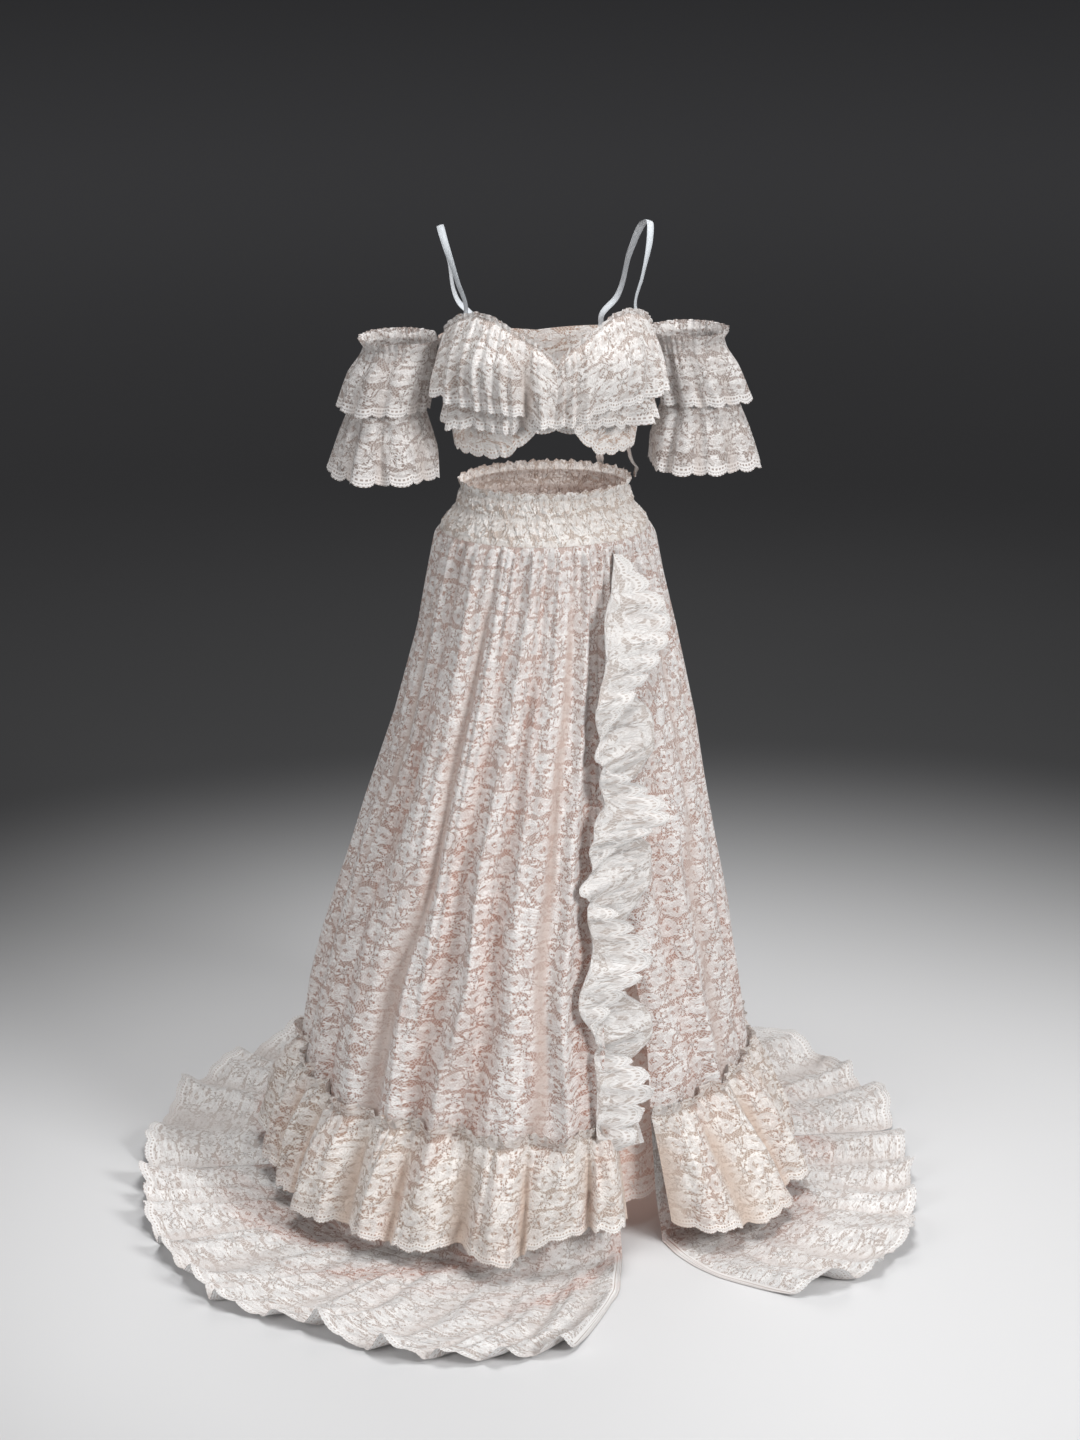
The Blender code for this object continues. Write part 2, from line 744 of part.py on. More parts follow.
def bodice_cloth(angle, share, out=0.0):
    """The bodice's inner face: share 0 is its top edge and 1 its hem."""
    share = np.atleast_1d(np.asarray(share, float))
    share = share[:, None] if share.ndim == 1 else share
    top = by_angle(BODICE_TOP, angle)
    turned = (np.asarray(angle) + 180.0) % 360.0 - 180.0
    hem = BODICE_HEM + BODICE_NOTCH * np.exp(-(np.abs(turned / BODICE_NOTCH_SPREAD) ** 3))
    height = top + (hem - top) * share
    return ring(BODICE_SECTIONS, angle, height, out + bodice_out(turned, height))


def front_angles():
    """The columns of the bodice front and of what is sewn to it."""
    edge = SEAM_ANGLE - SEAM_PARTING
    return np.linspace(-edge, edge, BODICE_COLUMNS + 1)


def back_angles():
    """The columns of the bodice back."""
    edge = SEAM_ANGLE + SEAM_PARTING
    return np.linspace(edge, 360.0 - edge, BACK_COLUMNS + 1)


def make_bodice():
    """The sweetheart front with its cups, and the plain stretch back."""
    add_wall("bodice_front", bodice_cloth(front_angles(), BODICE_SHARES), IVORY)
    add_wall("bodice_back", bodice_cloth(back_angles(), BODICE_SHARES), IVORY)


def make_bust_ruffles():
    """The two-tier ruffle round the neckline: one upper tier, and a lower one on each side of the centre."""
    angle = front_angles()[BUST_RUFFLE_EDGE:-BUST_RUFFLE_EDGE]
    wave = ruffle_wave(len(angle))
    bodice = moved_out(bodice_cloth(front_angles(), BODICE_SHARES), LACE + GAP)
    top = bodice[0, BUST_RUFFLE_EDGE:-BUST_RUFFLE_EDGE]
    heading = top + outward(top) * (BUST_HEADER_OUT + BUST_HEADER_WAVE * wave)[:, None]
    heading[:, 2] += BUST_HEADER_RISE
    upper = [heading, top]
    hem_height = by_angle(BUST_UPPER_HEM, angle)
    for share in BUST_SHARES:
        height = top[:, 2] + WAIST_HEIGHT
        height = height + (hem_height - height) * share
        out = LACE + GAP + share * (BUST_UPPER_VALLEY + BUST_UPPER_WAVE * wave)
        upper.append(ring(BODICE_SECTIONS, angle, height, out + bodice_out(angle, height)))
    add_wall("bust_ruffle_upper", np.array(upper), IVORY)

    middle = len(angle) // 2
    halves = {"right": slice(0, middle - BUST_LOWER_FIRST), "left": slice(middle + BUST_LOWER_FIRST + 1, None)}
    for side, part in halves.items():
        lower_top = bodice[1, BUST_RUFFLE_EDGE:-BUST_RUFFLE_EDGE][part]
        rows = [lower_top]
        for share in BUST_SHARES:
            height = lower_top[:, 2] + WAIST_HEIGHT
            height = height + (BUST_LOWER_HEM - height) * share
            out = LACE + GAP + share * (BUST_LOWER_VALLEY + BUST_LOWER_WAVE * wave[part])
            rows.append(ring(BODICE_SECTIONS, angle[part], height, out + bodice_out(angle[part], height)))
        add_wall("bust_ruffle_lower_" + side, np.array(rows), IVORY)


def sleeve_middle():
    """The distance of a sleeve's seam ring from the axis, which sets it beside the bodice."""
    bodice_side = bodice_cloth(np.array([SEAM_ANGLE]), 0.0)[0, 0, 0]
    return bodice_side + LACE + GAP + SLEEVE_RADIUS + LACE


def sleeve_tier(rows, side, inset=0.0):
    """The inner face of one sleeve tier as rings, pressed flat where it meets the body. SIDE is -1 or 1."""
    pressed = sleeve_middle() - SLEEVE_RADIUS + inset
    turn = 2 * np.pi * np.arange(SLEEVE_WAVES * RUFFLE_COLUMNS) / (SLEEVE_WAVES * RUFFLE_COLUMNS)
    wave = np.where(np.arange(len(turn)) % RUFFLE_COLUMNS == 0, 0.0, 1.0)
    rings = []
    for row in rows:
        radius = row.radius + row.wave * wave
        x = side * np.maximum(sleeve_middle() + row.middle + radius * np.sin(turn), pressed)
        y = -side * SLEEVE_DEPTH_RATIO * radius * np.cos(turn)
        rings.append(np.stack([x, y, np.full_like(x, row.height - WAIST_HEIGHT)], axis=-1))
    return np.array(rings)


def make_sleeves():
    """Two gathered tiers on each arm, below one frilled elastic heading."""
    for name, side in (("right", -1), ("left", 1)):
        add_wall("sleeve_upper_" + name, sleeve_tier(SLEEVE_UPPER, side), IVORY, closed=True)
        lower = sleeve_tier(SLEEVE_LOWER, side, inset=LACE + GAP)
        add_wall("sleeve_lower_" + name, lower, IVORY, closed=True)


def smooth_path(points, samples):
    """A smooth curve through the points: a cubic in chord length through each point and its neighbours."""
    points = np.asarray(points, float)
    steps = np.linalg.norm(np.diff(points, axis=0), axis=1)
    length = np.concatenate([[0.0], np.cumsum(steps)])
    slopes = np.gradient(points, length, axis=0)
    at = np.linspace(0.0, length[-1], samples)
    index = np.clip(np.searchsorted(length, at) - 1, 0, len(points) - 2)
    span = length[index + 1] - length[index]
    t = ((at - length[index]) / span)[:, None]
    span = span[:, None]
    start, end = points[index], points[index + 1]
    curve = (2 * t**3 - 3 * t**2 + 1) * start + (3 * t**2 - 2 * t**3) * end
    return curve + span * ((t**3 - 2 * t**2 + t) * slopes[index] + (t**3 - t**2) * slopes[index + 1])


def make_straps():
    """The two satin straps, each lapped inside the bodice's top edge in front and behind."""
    lap_out = -(3 * GAP + STRAP_THICKNESS)
    ends = []
    for angle in (STRAP_FRONT_ANGLE, STRAP_BACK_ANGLE):
        top = by_angle(BODICE_TOP, angle)
        heights = np.array([top - STRAP_LAP, top, top + STRAP_LAP])
        ends.append(ring(BODICE_SECTIONS, angle, heights, lap_out + bodice_out(angle, top)))
    shoulder = [(p.x, p.y, p.height - WAIST_HEIGHT) for p in STRAP_SHOULDER]
    path = smooth_path([*ends[0], *shoulder, *ends[1][::-1]], STRAP_SAMPLES)
    along = np.gradient(path, axis=0)
    along /= np.linalg.norm(along, axis=1, keepdims=True)
    over = np.clip((path[:, 2] - ends[0][-1, 2]) / (path[:, 2].max() - ends[0][-1, 2]), 0, 1)[:, None]
    face = outward(path) * (1 - over) + np.array(STRAP_TOP_FACE) * over
    across = np.cross(along, face)
    across *= 0.5 * STRAP_WIDTH / np.linalg.norm(across, axis=1, keepdims=True)
    for name, side in (("right", -1), ("left", 1)):
        mirror = np.array([side, 1.0, 1.0])
        points = np.stack([(path - side * across) * mirror, (path + side * across) * mirror], axis=1)
        add_wall("strap_" + name, points, SATIN, STRAP_THICKNESS, even_seams=False, roughness=SATIN_ROUGHNESS)


def make_ties():
    """The two tails of the back tie: they hang from the bodice back, one swaying out and one on the yoke."""
    bodice = moved_out(bodice_cloth(back_angles(), BODICE_SHARES), LACE + GAP)
    yoke = moved_out(yoke_cloth(BACK_MIDDLE), LACE + GAP)
    for number, tie in enumerate(TIES, start=1):
        above, hem = bodice[-2:, tie.bodice_column : tie.bodice_column + 2]
        frill, waist, below = yoke[:3, tie.yoke_column : tie.yoke_column + 2]
        end = waist + (below - waist) * tie.yoke_share
        sway = outward(waist) * tie.sway
        rows = [hem + (above - hem) * TIE_LAP, hem, frill + 0.5 * sway, waist + sway, end + sway]
        add_wall(f"tie_tail_{number}", np.array(rows), IVORY)


def main():
    """Builds the dress."""
    clear_scene()
    panels = skirt_panels()
    for panel in panels:
        make_skirt(panel)
        make_hem_ruffle(panel)
        make_train(panel)
    make_cascade(panels[0])
    make_yoke()
    make_underskirt()
    make_bodice()
    make_bust_ruffles()
    make_sleeves()
    make_straps()
    make_ties()


main()
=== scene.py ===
"""Looks of a two-piece lace wedding dress: a ruffled off-shoulder top and a long gathered skirt with a train.

Metres, +Z up. The wearer faces -Y and their right hand is at -X. Angles run round the body in degrees from the
front, -90 at -X and 90 at +X. Heights in the tables are above the floor, WAIST_HEIGHT below the origin.
"""

import logging
import math
from dataclasses import dataclass
from enum import Enum
from typing import NamedTuple, Optional, Sequence, Union

import bpy
import numpy as np
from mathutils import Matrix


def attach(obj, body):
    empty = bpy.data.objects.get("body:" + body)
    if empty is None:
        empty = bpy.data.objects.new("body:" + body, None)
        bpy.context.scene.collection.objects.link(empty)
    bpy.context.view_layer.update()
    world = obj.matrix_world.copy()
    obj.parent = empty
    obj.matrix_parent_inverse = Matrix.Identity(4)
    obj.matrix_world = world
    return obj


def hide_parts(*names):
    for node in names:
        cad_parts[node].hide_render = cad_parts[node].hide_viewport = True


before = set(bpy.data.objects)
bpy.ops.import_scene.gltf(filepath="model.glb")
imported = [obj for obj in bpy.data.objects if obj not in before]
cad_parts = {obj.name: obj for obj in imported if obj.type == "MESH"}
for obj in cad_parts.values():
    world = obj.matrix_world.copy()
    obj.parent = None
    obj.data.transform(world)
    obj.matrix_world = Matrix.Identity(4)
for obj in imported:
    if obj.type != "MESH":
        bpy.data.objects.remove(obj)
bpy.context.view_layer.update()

LOG = logging.getLogger("wedding_dress")

WAIST_HEIGHT = 1.055
LACE = 0.0012
GAP = 0.0003
SURFACE_OUT = 0.0006  # the middle of a wall of lace, and so where a sheet stands for it
SEAM_ANGLE = 90.0
SEAM_PARTING = 0.06
YOKE_TOP = 1.0705
YOKE_BOTTOM = 0.9985
TOP_ELASTIC = 1.0575
ELASTIC_HEIGHTS = (TOP_ELASTIC, 1.0330, 1.0005)
PANEL_TOP = 0.9982
PANEL_END = 0.1603
UNDERSKIRT_TOP = 1.008
UNDERSKIRT_SECTIONS_START = 0.985
UNDERSKIRT_HEM = 0.045
RUFFLE_SEAM = 0.182
GOLDEN_SHARE = 0.618
LOWEST_WAVE = 0.55
MEAN_FOLD = 0.014
GATHERS_PER_FOLD = 3
TRAIN_WAVES_PER_FOLD = 1.5
FOLD_ROUNDNESS = 0.85
FOLD_LEANS = (1.0, -1.0, 1.0, 1.0, -1.0, 1.0, -1.0, -1.0)
NO_EDGE = 1.0  # the distance to a free edge, in metres, where a piece has none
SKIRT_SCALLOP = 0.036
SCALLOP_DEPTH = 0.006
# The heights where the cloth coordinates across a piece are measured.
PANEL_MEASURE = 0.40
YOKE_MEASURE = 1.03
UNDERSKIRT_MEASURE = 0.20


class Section(NamedTuple):
    """A level section of the garment: its reach to each side of the axis."""

    height: float
    left: float
    right: float
    front: float
    back: float


class Fold(NamedTuple):
    """One fold of a gathered panel: its share of the panel's width, and its depth at the hem."""

    share: float
    depth: float


class SlitRow(NamedTuple):
    """The angles of the two edges of the slit at a height."""

    height: float
    front_edge: float
    side_edge: float


class TrainRow(NamedTuple):
    """A ring of the train on the floor: how far out it lies, its slit edges, and the height of its crests."""

    share: float
    front_edge: float
    side_edge: float
    crest: float


class AngleValue(NamedTuple):
    """A size that changes round the body."""

    angle: float
    value: float


class CascadeRow(NamedTuple):
    """Where the free edge of the slit ruffle goes: to the side of its seam, and out from it."""

    height: float
    sideways: float
    out: float
    roll: float


class SleeveRow(NamedTuple):
    """A ring of a sleeve tier: the distance of its middle from the axis, its half-width, and its wave."""

    height: float
    middle: float
    radius: float
    wave: float


def angle_table(*rows: tuple[float, float]) -> tuple[AngleValue, ...]:
    """A table of values round the body, from pairs of an angle in degrees and a value."""
    return tuple(AngleValue(*row) for row in rows)


SKIRT_SECTIONS = (
    Section(1.070, 0.121, 0.121, 0.091, 0.086),
    Section(1.058, 0.120, 0.120, 0.090, 0.085),
    Section(1.030, 0.129, 0.129, 0.099, 0.092),
    Section(1.010, 0.145, 0.145, 0.112, 0.101),
    Section(1.000, 0.151, 0.151, 0.118, 0.106),
    Section(0.930, 0.162, 0.165, 0.134, 0.128),
    Section(0.850, 0.178, 0.184, 0.158, 0.156),
    Section(0.709, 0.212, 0.214, 0.202, 0.206),
    Section(0.574, 0.254, 0.236, 0.246, 0.252),
    Section(0.414, 0.300, 0.264, 0.294, 0.302),
    Section(0.280, 0.337, 0.284, 0.332, 0.342),
    Section(0.182, 0.357, 0.298, 0.358, 0.364),
    Section(0.070, 0.380, 0.316, 0.380, 0.388),
    Section(0.000, 0.392, 0.330, 0.392, 0.400),
)
UNDERSKIRT_SECTIONS = (
    Section(1.008, 0.1440, 0.1440, 0.1112, 0.1002),
    Section(0.985, 0.146, 0.146, 0.113, 0.101),
    Section(0.709, 0.176, 0.178, 0.164, 0.160),
    Section(0.414, 0.226, 0.222, 0.228, 0.214),
    Section(0.045, 0.290, 0.270, 0.296, 0.280),
)
BODICE_SECTIONS = (
    Section(1.345, 0.148, 0.148, 0.118, 0.100),
    Section(1.300, 0.151, 0.151, 0.130, 0.102),
    Section(1.270, 0.151, 0.151, 0.135, 0.101),
    Section(1.230, 0.147, 0.147, 0.130, 0.098),
    Section(1.190, 0.140, 0.140, 0.117, 0.094),
    Section(1.150, 0.133, 0.133, 0.106, 0.090),
    Section(1.110, 0.127, 0.127, 0.098, 0.088),
)
SKIRT_SWELL = angle_table(
    (-180, 0.0), (-90, 0.0), (-52, 0.014), (-28, -0.006), (-8, 0.006), (12, -0.028), (27, -0.034), (60, -0.006),
    (90, 0.0), (180, 0.0),
)
SWELL_POWER = 1.5
SLIT = (
    SlitRow(1.000, 41.8, 42.0),
    SlitRow(0.850, 33.0, 33.4),
    SlitRow(0.709, 25.0, 25.8),
    SlitRow(0.574, 19.0, 21.2),
    SlitRow(0.500, 16.6, 20.4),
    SlitRow(0.414, 14.5, 21.4),
    SlitRow(0.350, 13.4, 23.6),
    SlitRow(0.280, 12.5, 24.7),
    SlitRow(0.160, 12.0, 24.0),
    SlitRow(0.070, 11.5, 23.0),
    SlitRow(0.000, 11.0, 22.5),
)
FRONT_FOLDS = (
    Fold(0.112, 0.016),
    Fold(0.112, 0.020),
    Fold(0.187, 0.026),
    Fold(0.099, 0.020),
    Fold(0.138, 0.027),
    Fold(0.134, 0.024),
    Fold(0.124, 0.032),
    Fold(0.094, 0.020),
)
SIDE_FOLDS = (
    Fold(0.22, 0.012),
    Fold(0.27, 0.016),
    Fold(0.24, 0.013),
    Fold(0.27, 0.018),
)
BACK_FOLDS = (
    Fold(0.118, 0.020),
    Fold(0.136, 0.026),
    Fold(0.112, 0.018),
    Fold(0.134, 0.027),
    Fold(0.122, 0.022),
    Fold(0.130, 0.028),
    Fold(0.114, 0.019),
    Fold(0.134, 0.024),
)
FRONT_BACKED = (0.0, 1.0, 0.0, 1.0, 0.0, 0.0, 1.0, 0.0, 0.0)
SIDE_BACKED = (0.0, 0.0, 1.0, 0.0, 0.0)
BACK_BACKED = (0.0, 1.0, 0.0, 0.0, 1.0, 0.0, 1.0, 0.0, 0.0)
FOLD_HEIGHTS = (0.0, 0.160, 0.414, 0.709, 0.930, 0.985, 0.9985)
FOLD_GROWTH = (1.0, 1.0, 0.85, 0.55, 0.38, 0.30, 0.0)
RUFFLE_REACH = angle_table(
    (-180, 0.455), (-120, 0.450), (-90, 0.440), (-57, 0.468), (-40, 0.466), (-26, 0.446), (-14, 0.460),
    (-4, 0.440), (10, 0.425), (22, 0.410), (30, 0.450), (40, 0.472), (60, 0.430), (90, 0.378), (130, 0.430),
    (180, 0.455),
)
RUFFLE_HEM = angle_table(
    (-180, 0.028), (-62, 0.030), (-46, 0.040), (-33, 0.026), (-25, 0.044), (-15, 0.026), (-5, 0.062),
    (10, 0.070), (22, 0.040), (40, 0.030), (180, 0.028),
)
TRAIN_EDGE = angle_table(
    (-180, 0.545), (-140, 0.583), (-118, 0.610), (-95, 0.614), (-81, 0.627), (-69, 0.650), (-50, 0.688),
    (-36, 0.668), (-24, 0.694), (-12, 0.676), (-3, 0.636), (4, 0.550), (20, 0.470), (24, 0.545), (30, 0.600),
    (42, 0.636), (52, 0.624), (66, 0.578), (83, 0.553), (101, 0.557), (120, 0.553), (140, 0.535), (180, 0.545),
)
TRAIN_ROWS = (
    TrainRow(0.00, 11.0, 22.5, 0.004),
    TrainRow(0.32, 8.0, 22.0, 0.008),
    TrainRow(0.66, 5.0, 23.5, 0.022),
    TrainRow(1.00, -3.0, 29.0, 0.036),
)
CASCADE = (
    CascadeRow(0.984, 0.010, 0.006, 0.010),
    CascadeRow(0.950, 0.047, 0.014, 0.050),
    CascadeRow(0.916, 0.072, 0.017, 0.078),
    CascadeRow(0.860, 0.054, 0.021, 0.074),
    CascadeRow(0.795, 0.000, 0.022, 0.040),
    CascadeRow(0.735, -0.062, 0.016, -0.060),
    CascadeRow(0.690, 0.000, 0.022, 0.012),
    CascadeRow(0.645, 0.066, 0.019, 0.078),
    CascadeRow(0.612, 0.033, 0.022, 0.066),
    CascadeRow(0.568, -0.070, 0.016, -0.064),
    CascadeRow(0.508, -0.010, 0.022, 0.012),
    CascadeRow(0.447, 0.047, 0.019, 0.068),
    CascadeRow(0.392, 0.006, 0.022, 0.052),
    CascadeRow(0.334, -0.038, 0.016, -0.046),
    CascadeRow(0.279, 0.044, 0.017, 0.046),
    CascadeRow(0.215, 0.030, 0.016, 0.030),
    CascadeRow(0.165, 0.014, 0.012, 0.010),
)
BODICE_TOP = angle_table(
    (0, 1.266), (10, 1.287), (25, 1.307), (38, 1.323), (50, 1.327), (62, 1.319), (74, 1.298), (86, 1.280),
    (180, 1.262),
)
BUST_PLEATS = angle_table(
    (-78.0, 0.2), (-72.0, 0.95), (-66.0, 0.1), (-59.0, 0.9), (-54.5, 0.35), (-51.0, 0.85), (-47.6, 0.45),
    (-43.6, 0.95), (-40.4, 0.50), (-36.4, 0.90), (-33.4, 0.55), (-29.0, 1.0), (-26.4, 0.65), (-24.0, 0.85),
    (-18.0, -0.45), (-9.0, 1.0), (-1.0, 0.25), (3.4, 0.55), (5.2, 0.30), (8.6, 0.80), (11.0, 0.45), (16.0, 1.0),
    (21.5, 0.55), (31.0, 0.75), (40.0, 0.60), (47.0, 0.85), (54.0, 0.20), (60.5, 1.0), (66.0, 0.0), (71.5, 1.0),
    (78.0, 0.2),
)
BUST_UPPER_HEM = angle_table(
    (0, 1.176), (10, 1.180), (25, 1.198), (60, 1.208), (86, 1.208),
)
STRAP_ROUTE = (
    (0.1300, -0.062, 1.372),
    (0.1440, -0.036, 1.420),
    (0.1480, -0.008, 1.438),
    (0.1430, 0.028, 1.428),
    (0.1300, 0.062, 1.380),
    (0.1140, 0.084, 1.310),
)
SLEEVE_UPPER = (
    SleeveRow(1.282, 0.0000, 0.0555, 0.004),
    SleeveRow(1.268, 0.0000, 0.0520, 0.000),
    SleeveRow(1.228, 0.0120, 0.0580, 0.007),
    SleeveRow(1.180, 0.0240, 0.0600, 0.011),
)
SLEEVE_LOWER = (
    SleeveRow(1.262, 0.0000, 0.0480, 0.000),
    SleeveRow(1.190, 0.0170, 0.0480, 0.006),
    SleeveRow(1.140, 0.0200, 0.0620, 0.010),
    SleeveRow(1.085, 0.0200, 0.0770, 0.014),
)


def by_angle(table: Sequence[AngleValue], angle: np.ndarray) -> np.ndarray:
    """The table's value at an angle, read round the body.

    Args:
        table: Values in rising angles. A table that starts at 0 is the same on both sides.
        angle: Angles in degrees from the front.

    Returns:
        The values, on straight lines between the table's rows.
    """
    table_angles = [row.angle for row in table]
    turned = (np.asarray(angle, float) + 180.0) % 360.0 - 180.0
    if table_angles[0] >= 0:
        turned = np.abs(turned)
    return np.interp(turned, table_angles, [row.value for row in table])


def by_height(rows: Sequence[tuple], column: int, height: np.ndarray) -> np.ndarray:
    """One column of a table whose first column is a height, at some heights, on straight lines."""
    ordered = sorted(rows)
    return np.interp(height, [row[0] for row in ordered], [row[column] for row in ordered])


def smooth_table(at: np.ndarray, places: Sequence[float], values: Sequence[float]) -> np.ndarray:
    """A smooth curve through a table: a cubic between neighbours with slopes from the points beside them.

    Args:
        at: Where the curve is read.
        places: The table's places, rising.
        values: The value at each place.

    Returns:
        h00 y0 + h10 d m0 + h01 y1 + h11 d m1, with t the share of the way d between two places.
    """
    places, values = np.asarray(places, float), np.asarray(values, float)
    slopes = np.gradient(values, places)
    index = np.clip(np.searchsorted(places, at) - 1, 0, len(places) - 2)
    span = places[index + 1] - places[index]
    t = np.clip((at - places[index]) / span, 0.0, 1.0)
    start = (2 * t**3 - 3 * t**2 + 1) * values[index] + (t**3 - 2 * t**2 + t) * span * slopes[index]
    return start + (3 * t**2 - 2 * t**3) * values[index + 1] + (t**3 - t**2) * span * slopes[index + 1]


def ring(
    sections: Sequence[Section], angle: np.ndarray, height: np.ndarray, out: Union[float, np.ndarray] = 0.0
) -> np.ndarray:
    """Points on the sections' outline, moved out along its normal.

    Args:
        sections: The table of level sections.
        angle: Polar angles in degrees.
        height: Heights above the floor.
        out: How far each point is moved out.

    Returns:
        Points at radius 1 / sqrt((sin / side)^2 + (cos / depth)^2), plus out times the ellipse's normal.
    """
    angle, height, out = np.broadcast_arrays(
        np.asarray(angle, float), np.asarray(height, float), np.asarray(out, float)
    )
    turn = np.radians(angle)
    sine, cosine = np.sin(turn), np.cos(turn)
    side = np.where(sine > 0, by_height(sections, 2, height), by_height(sections, 1, height))
    depth = np.where(cosine > 0, by_height(sections, 3, height), by_height(sections, 4, height))
    radius = 1.0 / np.sqrt((sine / side) ** 2 + (cosine / depth) ** 2)
    normal_x, normal_y = sine / side**2, -cosine / depth**2
    length = np.hypot(normal_x, normal_y)
    x = radius * sine + out * normal_x / length
    y = -radius * cosine + out * normal_y / length
    return np.stack([x, y, height - WAIST_HEIGHT], axis=-1)


def polar(angle: np.ndarray, radius: np.ndarray, height: np.ndarray) -> np.ndarray:
    """Points at an angle, a distance from the axis and a height above the floor."""
    turn = np.radians(angle)
    values = np.broadcast_arrays(radius * np.sin(turn), -radius * np.cos(turn), height - WAIST_HEIGHT)
    return np.stack(values, axis=-1)


def outward(points: np.ndarray) -> np.ndarray:
    """Level unit vectors from the axis through each point."""
    direction = points * np.array([1.0, 1.0, 0.0])
    return direction / np.linalg.norm(direction, axis=-1, keepdims=True)


def uneven(number: np.ndarray, least: float = 0.0) -> np.ndarray:
    """A steady spread of values from least to 1 for numbered waves, so that no two neighbours are alike."""
    return least + (1.0 - least) * np.modf(np.asarray(number, float) * GOLDEN_SHARE)[0]


def wander(place: np.ndarray, seed: float) -> np.ndarray:
    """A slow, uneven wave between about -1 and 1: three sines whose lengths share no common measure."""
    place = np.asarray(place, float)
    first = np.sin(2.1 * place + 1.7 * seed)
    second = np.sin(3.37 * place + 2.9 * seed + 1.1)
    return (first + 0.7 * second + 0.5 * np.sin(5.91 * place + 4.3 * seed + 2.3)) / 1.7


def roll(phase: np.ndarray, roundness: float = FOLD_ROUNDNESS) -> np.ndarray:
    """A row of rounded folds, 0 in a valley and 1 on a crest: half of 1 less a cosine, to a power."""
    return (0.5 - 0.5 * np.cos(2 * np.pi * phase)) ** roundness


def crest(phase: np.ndarray, sharpness: float = 1.3) -> np.ndarray:
    """A row of folds: the sine of half a turn per fold, raised to a power, 0 in a valley and 1 on a crest."""
    return np.abs(np.sin(np.pi * phase)) ** sharpness


def pleats(table: Sequence[AngleValue], angle: np.ndarray) -> np.ndarray:
    """Pleats through a table of crests and valleys, with a soft step 3 t^2 - 2 t^3 from row to row."""
    places = np.array([row.angle for row in table])
    values = np.array([row.value for row in table])
    index = np.clip(np.searchsorted(places, angle) - 1, 0, len(places) - 2)
    t = np.clip((angle - places[index]) / (places[index + 1] - places[index]), 0.0, 1.0)
    return values[index] + (values[index + 1] - values[index]) * (3 * t**2 - 2 * t**3)


def run_length(row: np.ndarray) -> np.ndarray:
    """The distance along a row of points, from its first point."""
    steps = np.linalg.norm(np.diff(row, axis=0), axis=-1)
    return np.concatenate([[0.0], np.cumsum(steps)])


def scallops(along: np.ndarray, period: float, depth: float) -> np.ndarray:
    """How far a scalloped edge reaches past its own line: depth times (|sin|^0.6 - 0.75) at each place."""
    return depth * (np.abs(np.sin(np.pi * along / period)) ** 0.6 - 0.75)


class Held(Enum):
    """How a piece of cloth hangs."""

    HUNG = "hung"
    GATHERED = "gathered"
    STRETCHED = "stretched"
    LAID = "laid"


@dataclass(frozen=True)
class Cloth:
    """A woven surface on a grid of points, rows from top to bottom and columns rising in angle.

    Attributes:
        points: The grid, rows by columns by 3.
        along: Metres along the cloth at each grid point, across the columns, with one more column if closed.
        down: Metres down the cloth at each grid point, in the same layout.
        edge: Metres to the scalloped edge, one value for each point of the grid.
        valley: How deep in a fold each point lies, from 0 to 1, which the lace finishes darken as painted
            shade.
        closed: Whether the last column joins the first.
        blush: How much of a blush lining shows at each point, from 0 to 1; on the skirt panels it is also
            painted shade in the valleys.
    """

    points: np.ndarray
    along: np.ndarray
    down: np.ndarray
    edge: np.ndarray
    valley: np.ndarray
    closed: bool = False
    blush: Union[float, np.ndarray] = 0.0

    def build(self, name: str) -> bpy.types.Object:
        """Makes the object.

        Args:
            name: The piece's name.

        Returns:
            The object, with the UV map Cloth in metres and the attributes edge, valley and blush.
        """
        row_count, column_count = self.points.shape[:2]
        last = column_count if self.closed else column_count - 1
        row, column = np.meshgrid(np.arange(row_count - 1), np.arange(last), indexing="ij")
        rows = np.stack([row, row + 1, row + 1, row], axis=-1).reshape(-1)
        columns = np.stack([column, column, column + 1, column + 1], axis=-1).reshape(-1)
        corners = (rows * column_count + columns % column_count).reshape(-1, 4)
        mesh = bpy.data.meshes.new(name)
        mesh.from_pydata(self.points.reshape(-1, 3).tolist(), [], corners.tolist())
        layer = mesh.uv_layers.new(name="Cloth")
        uv = np.stack([self.along[rows, columns], self.down[rows, columns]], axis=-1)
        layer.data.foreach_set("uv", uv.astype(np.float32).reshape(-1))
        for label, values in (("edge", self.edge), ("valley", self.valley), ("blush", self.blush)):
            attribute = mesh.attributes.new(label, "FLOAT", "POINT")
            full = np.broadcast_to(values, (row_count, column_count)).astype(np.float32)
            attribute.data.foreach_set("value", full.reshape(-1))
        mesh.shade_smooth()
        piece = bpy.data.objects.new(name, mesh)
        bpy.context.scene.collection.objects.link(piece)
        return piece

    def cut(self) -> tuple[float, float]:
        """The width and length of the flat cloth: its longest row, and its longest column."""
        across = np.linalg.norm(np.diff(self.points, axis=1), axis=-1).sum(axis=1)
        lengthwise = np.linalg.norm(np.diff(self.points, axis=0), axis=-1).sum(axis=0)
        if self.closed:
            across = across + np.linalg.norm(self.points[:, 0] - self.points[:, -1], axis=-1)
        return float(across.max()), float(lengthwise.max())

    def area(self) -> float:
        """The area of the surface: half the cross product of each cell's diagonals, added up."""
        points = self.points
        if self.closed:
            points = np.concatenate([points, points[:, :1]], axis=1)
        first = points[1:, 1:] - points[:-1, :-1]
        second = points[1:, :-1] - points[:-1, 1:]
        return float(0.5 * np.linalg.norm(np.cross(first, second), axis=-1).sum())


class Stuff(Enum):
    """What a piece is made of: the last word of its name, and the name of a material slot, which is not used.
    """

    LACE = ("lace", "lace")
    SHIRRING = ("shirring", "shirred_lace")
    BLUSH = ("blush", "blush_lace")
    SATIN = ("satin", "satin")


LEAST_AREA_SHARE = 0.31


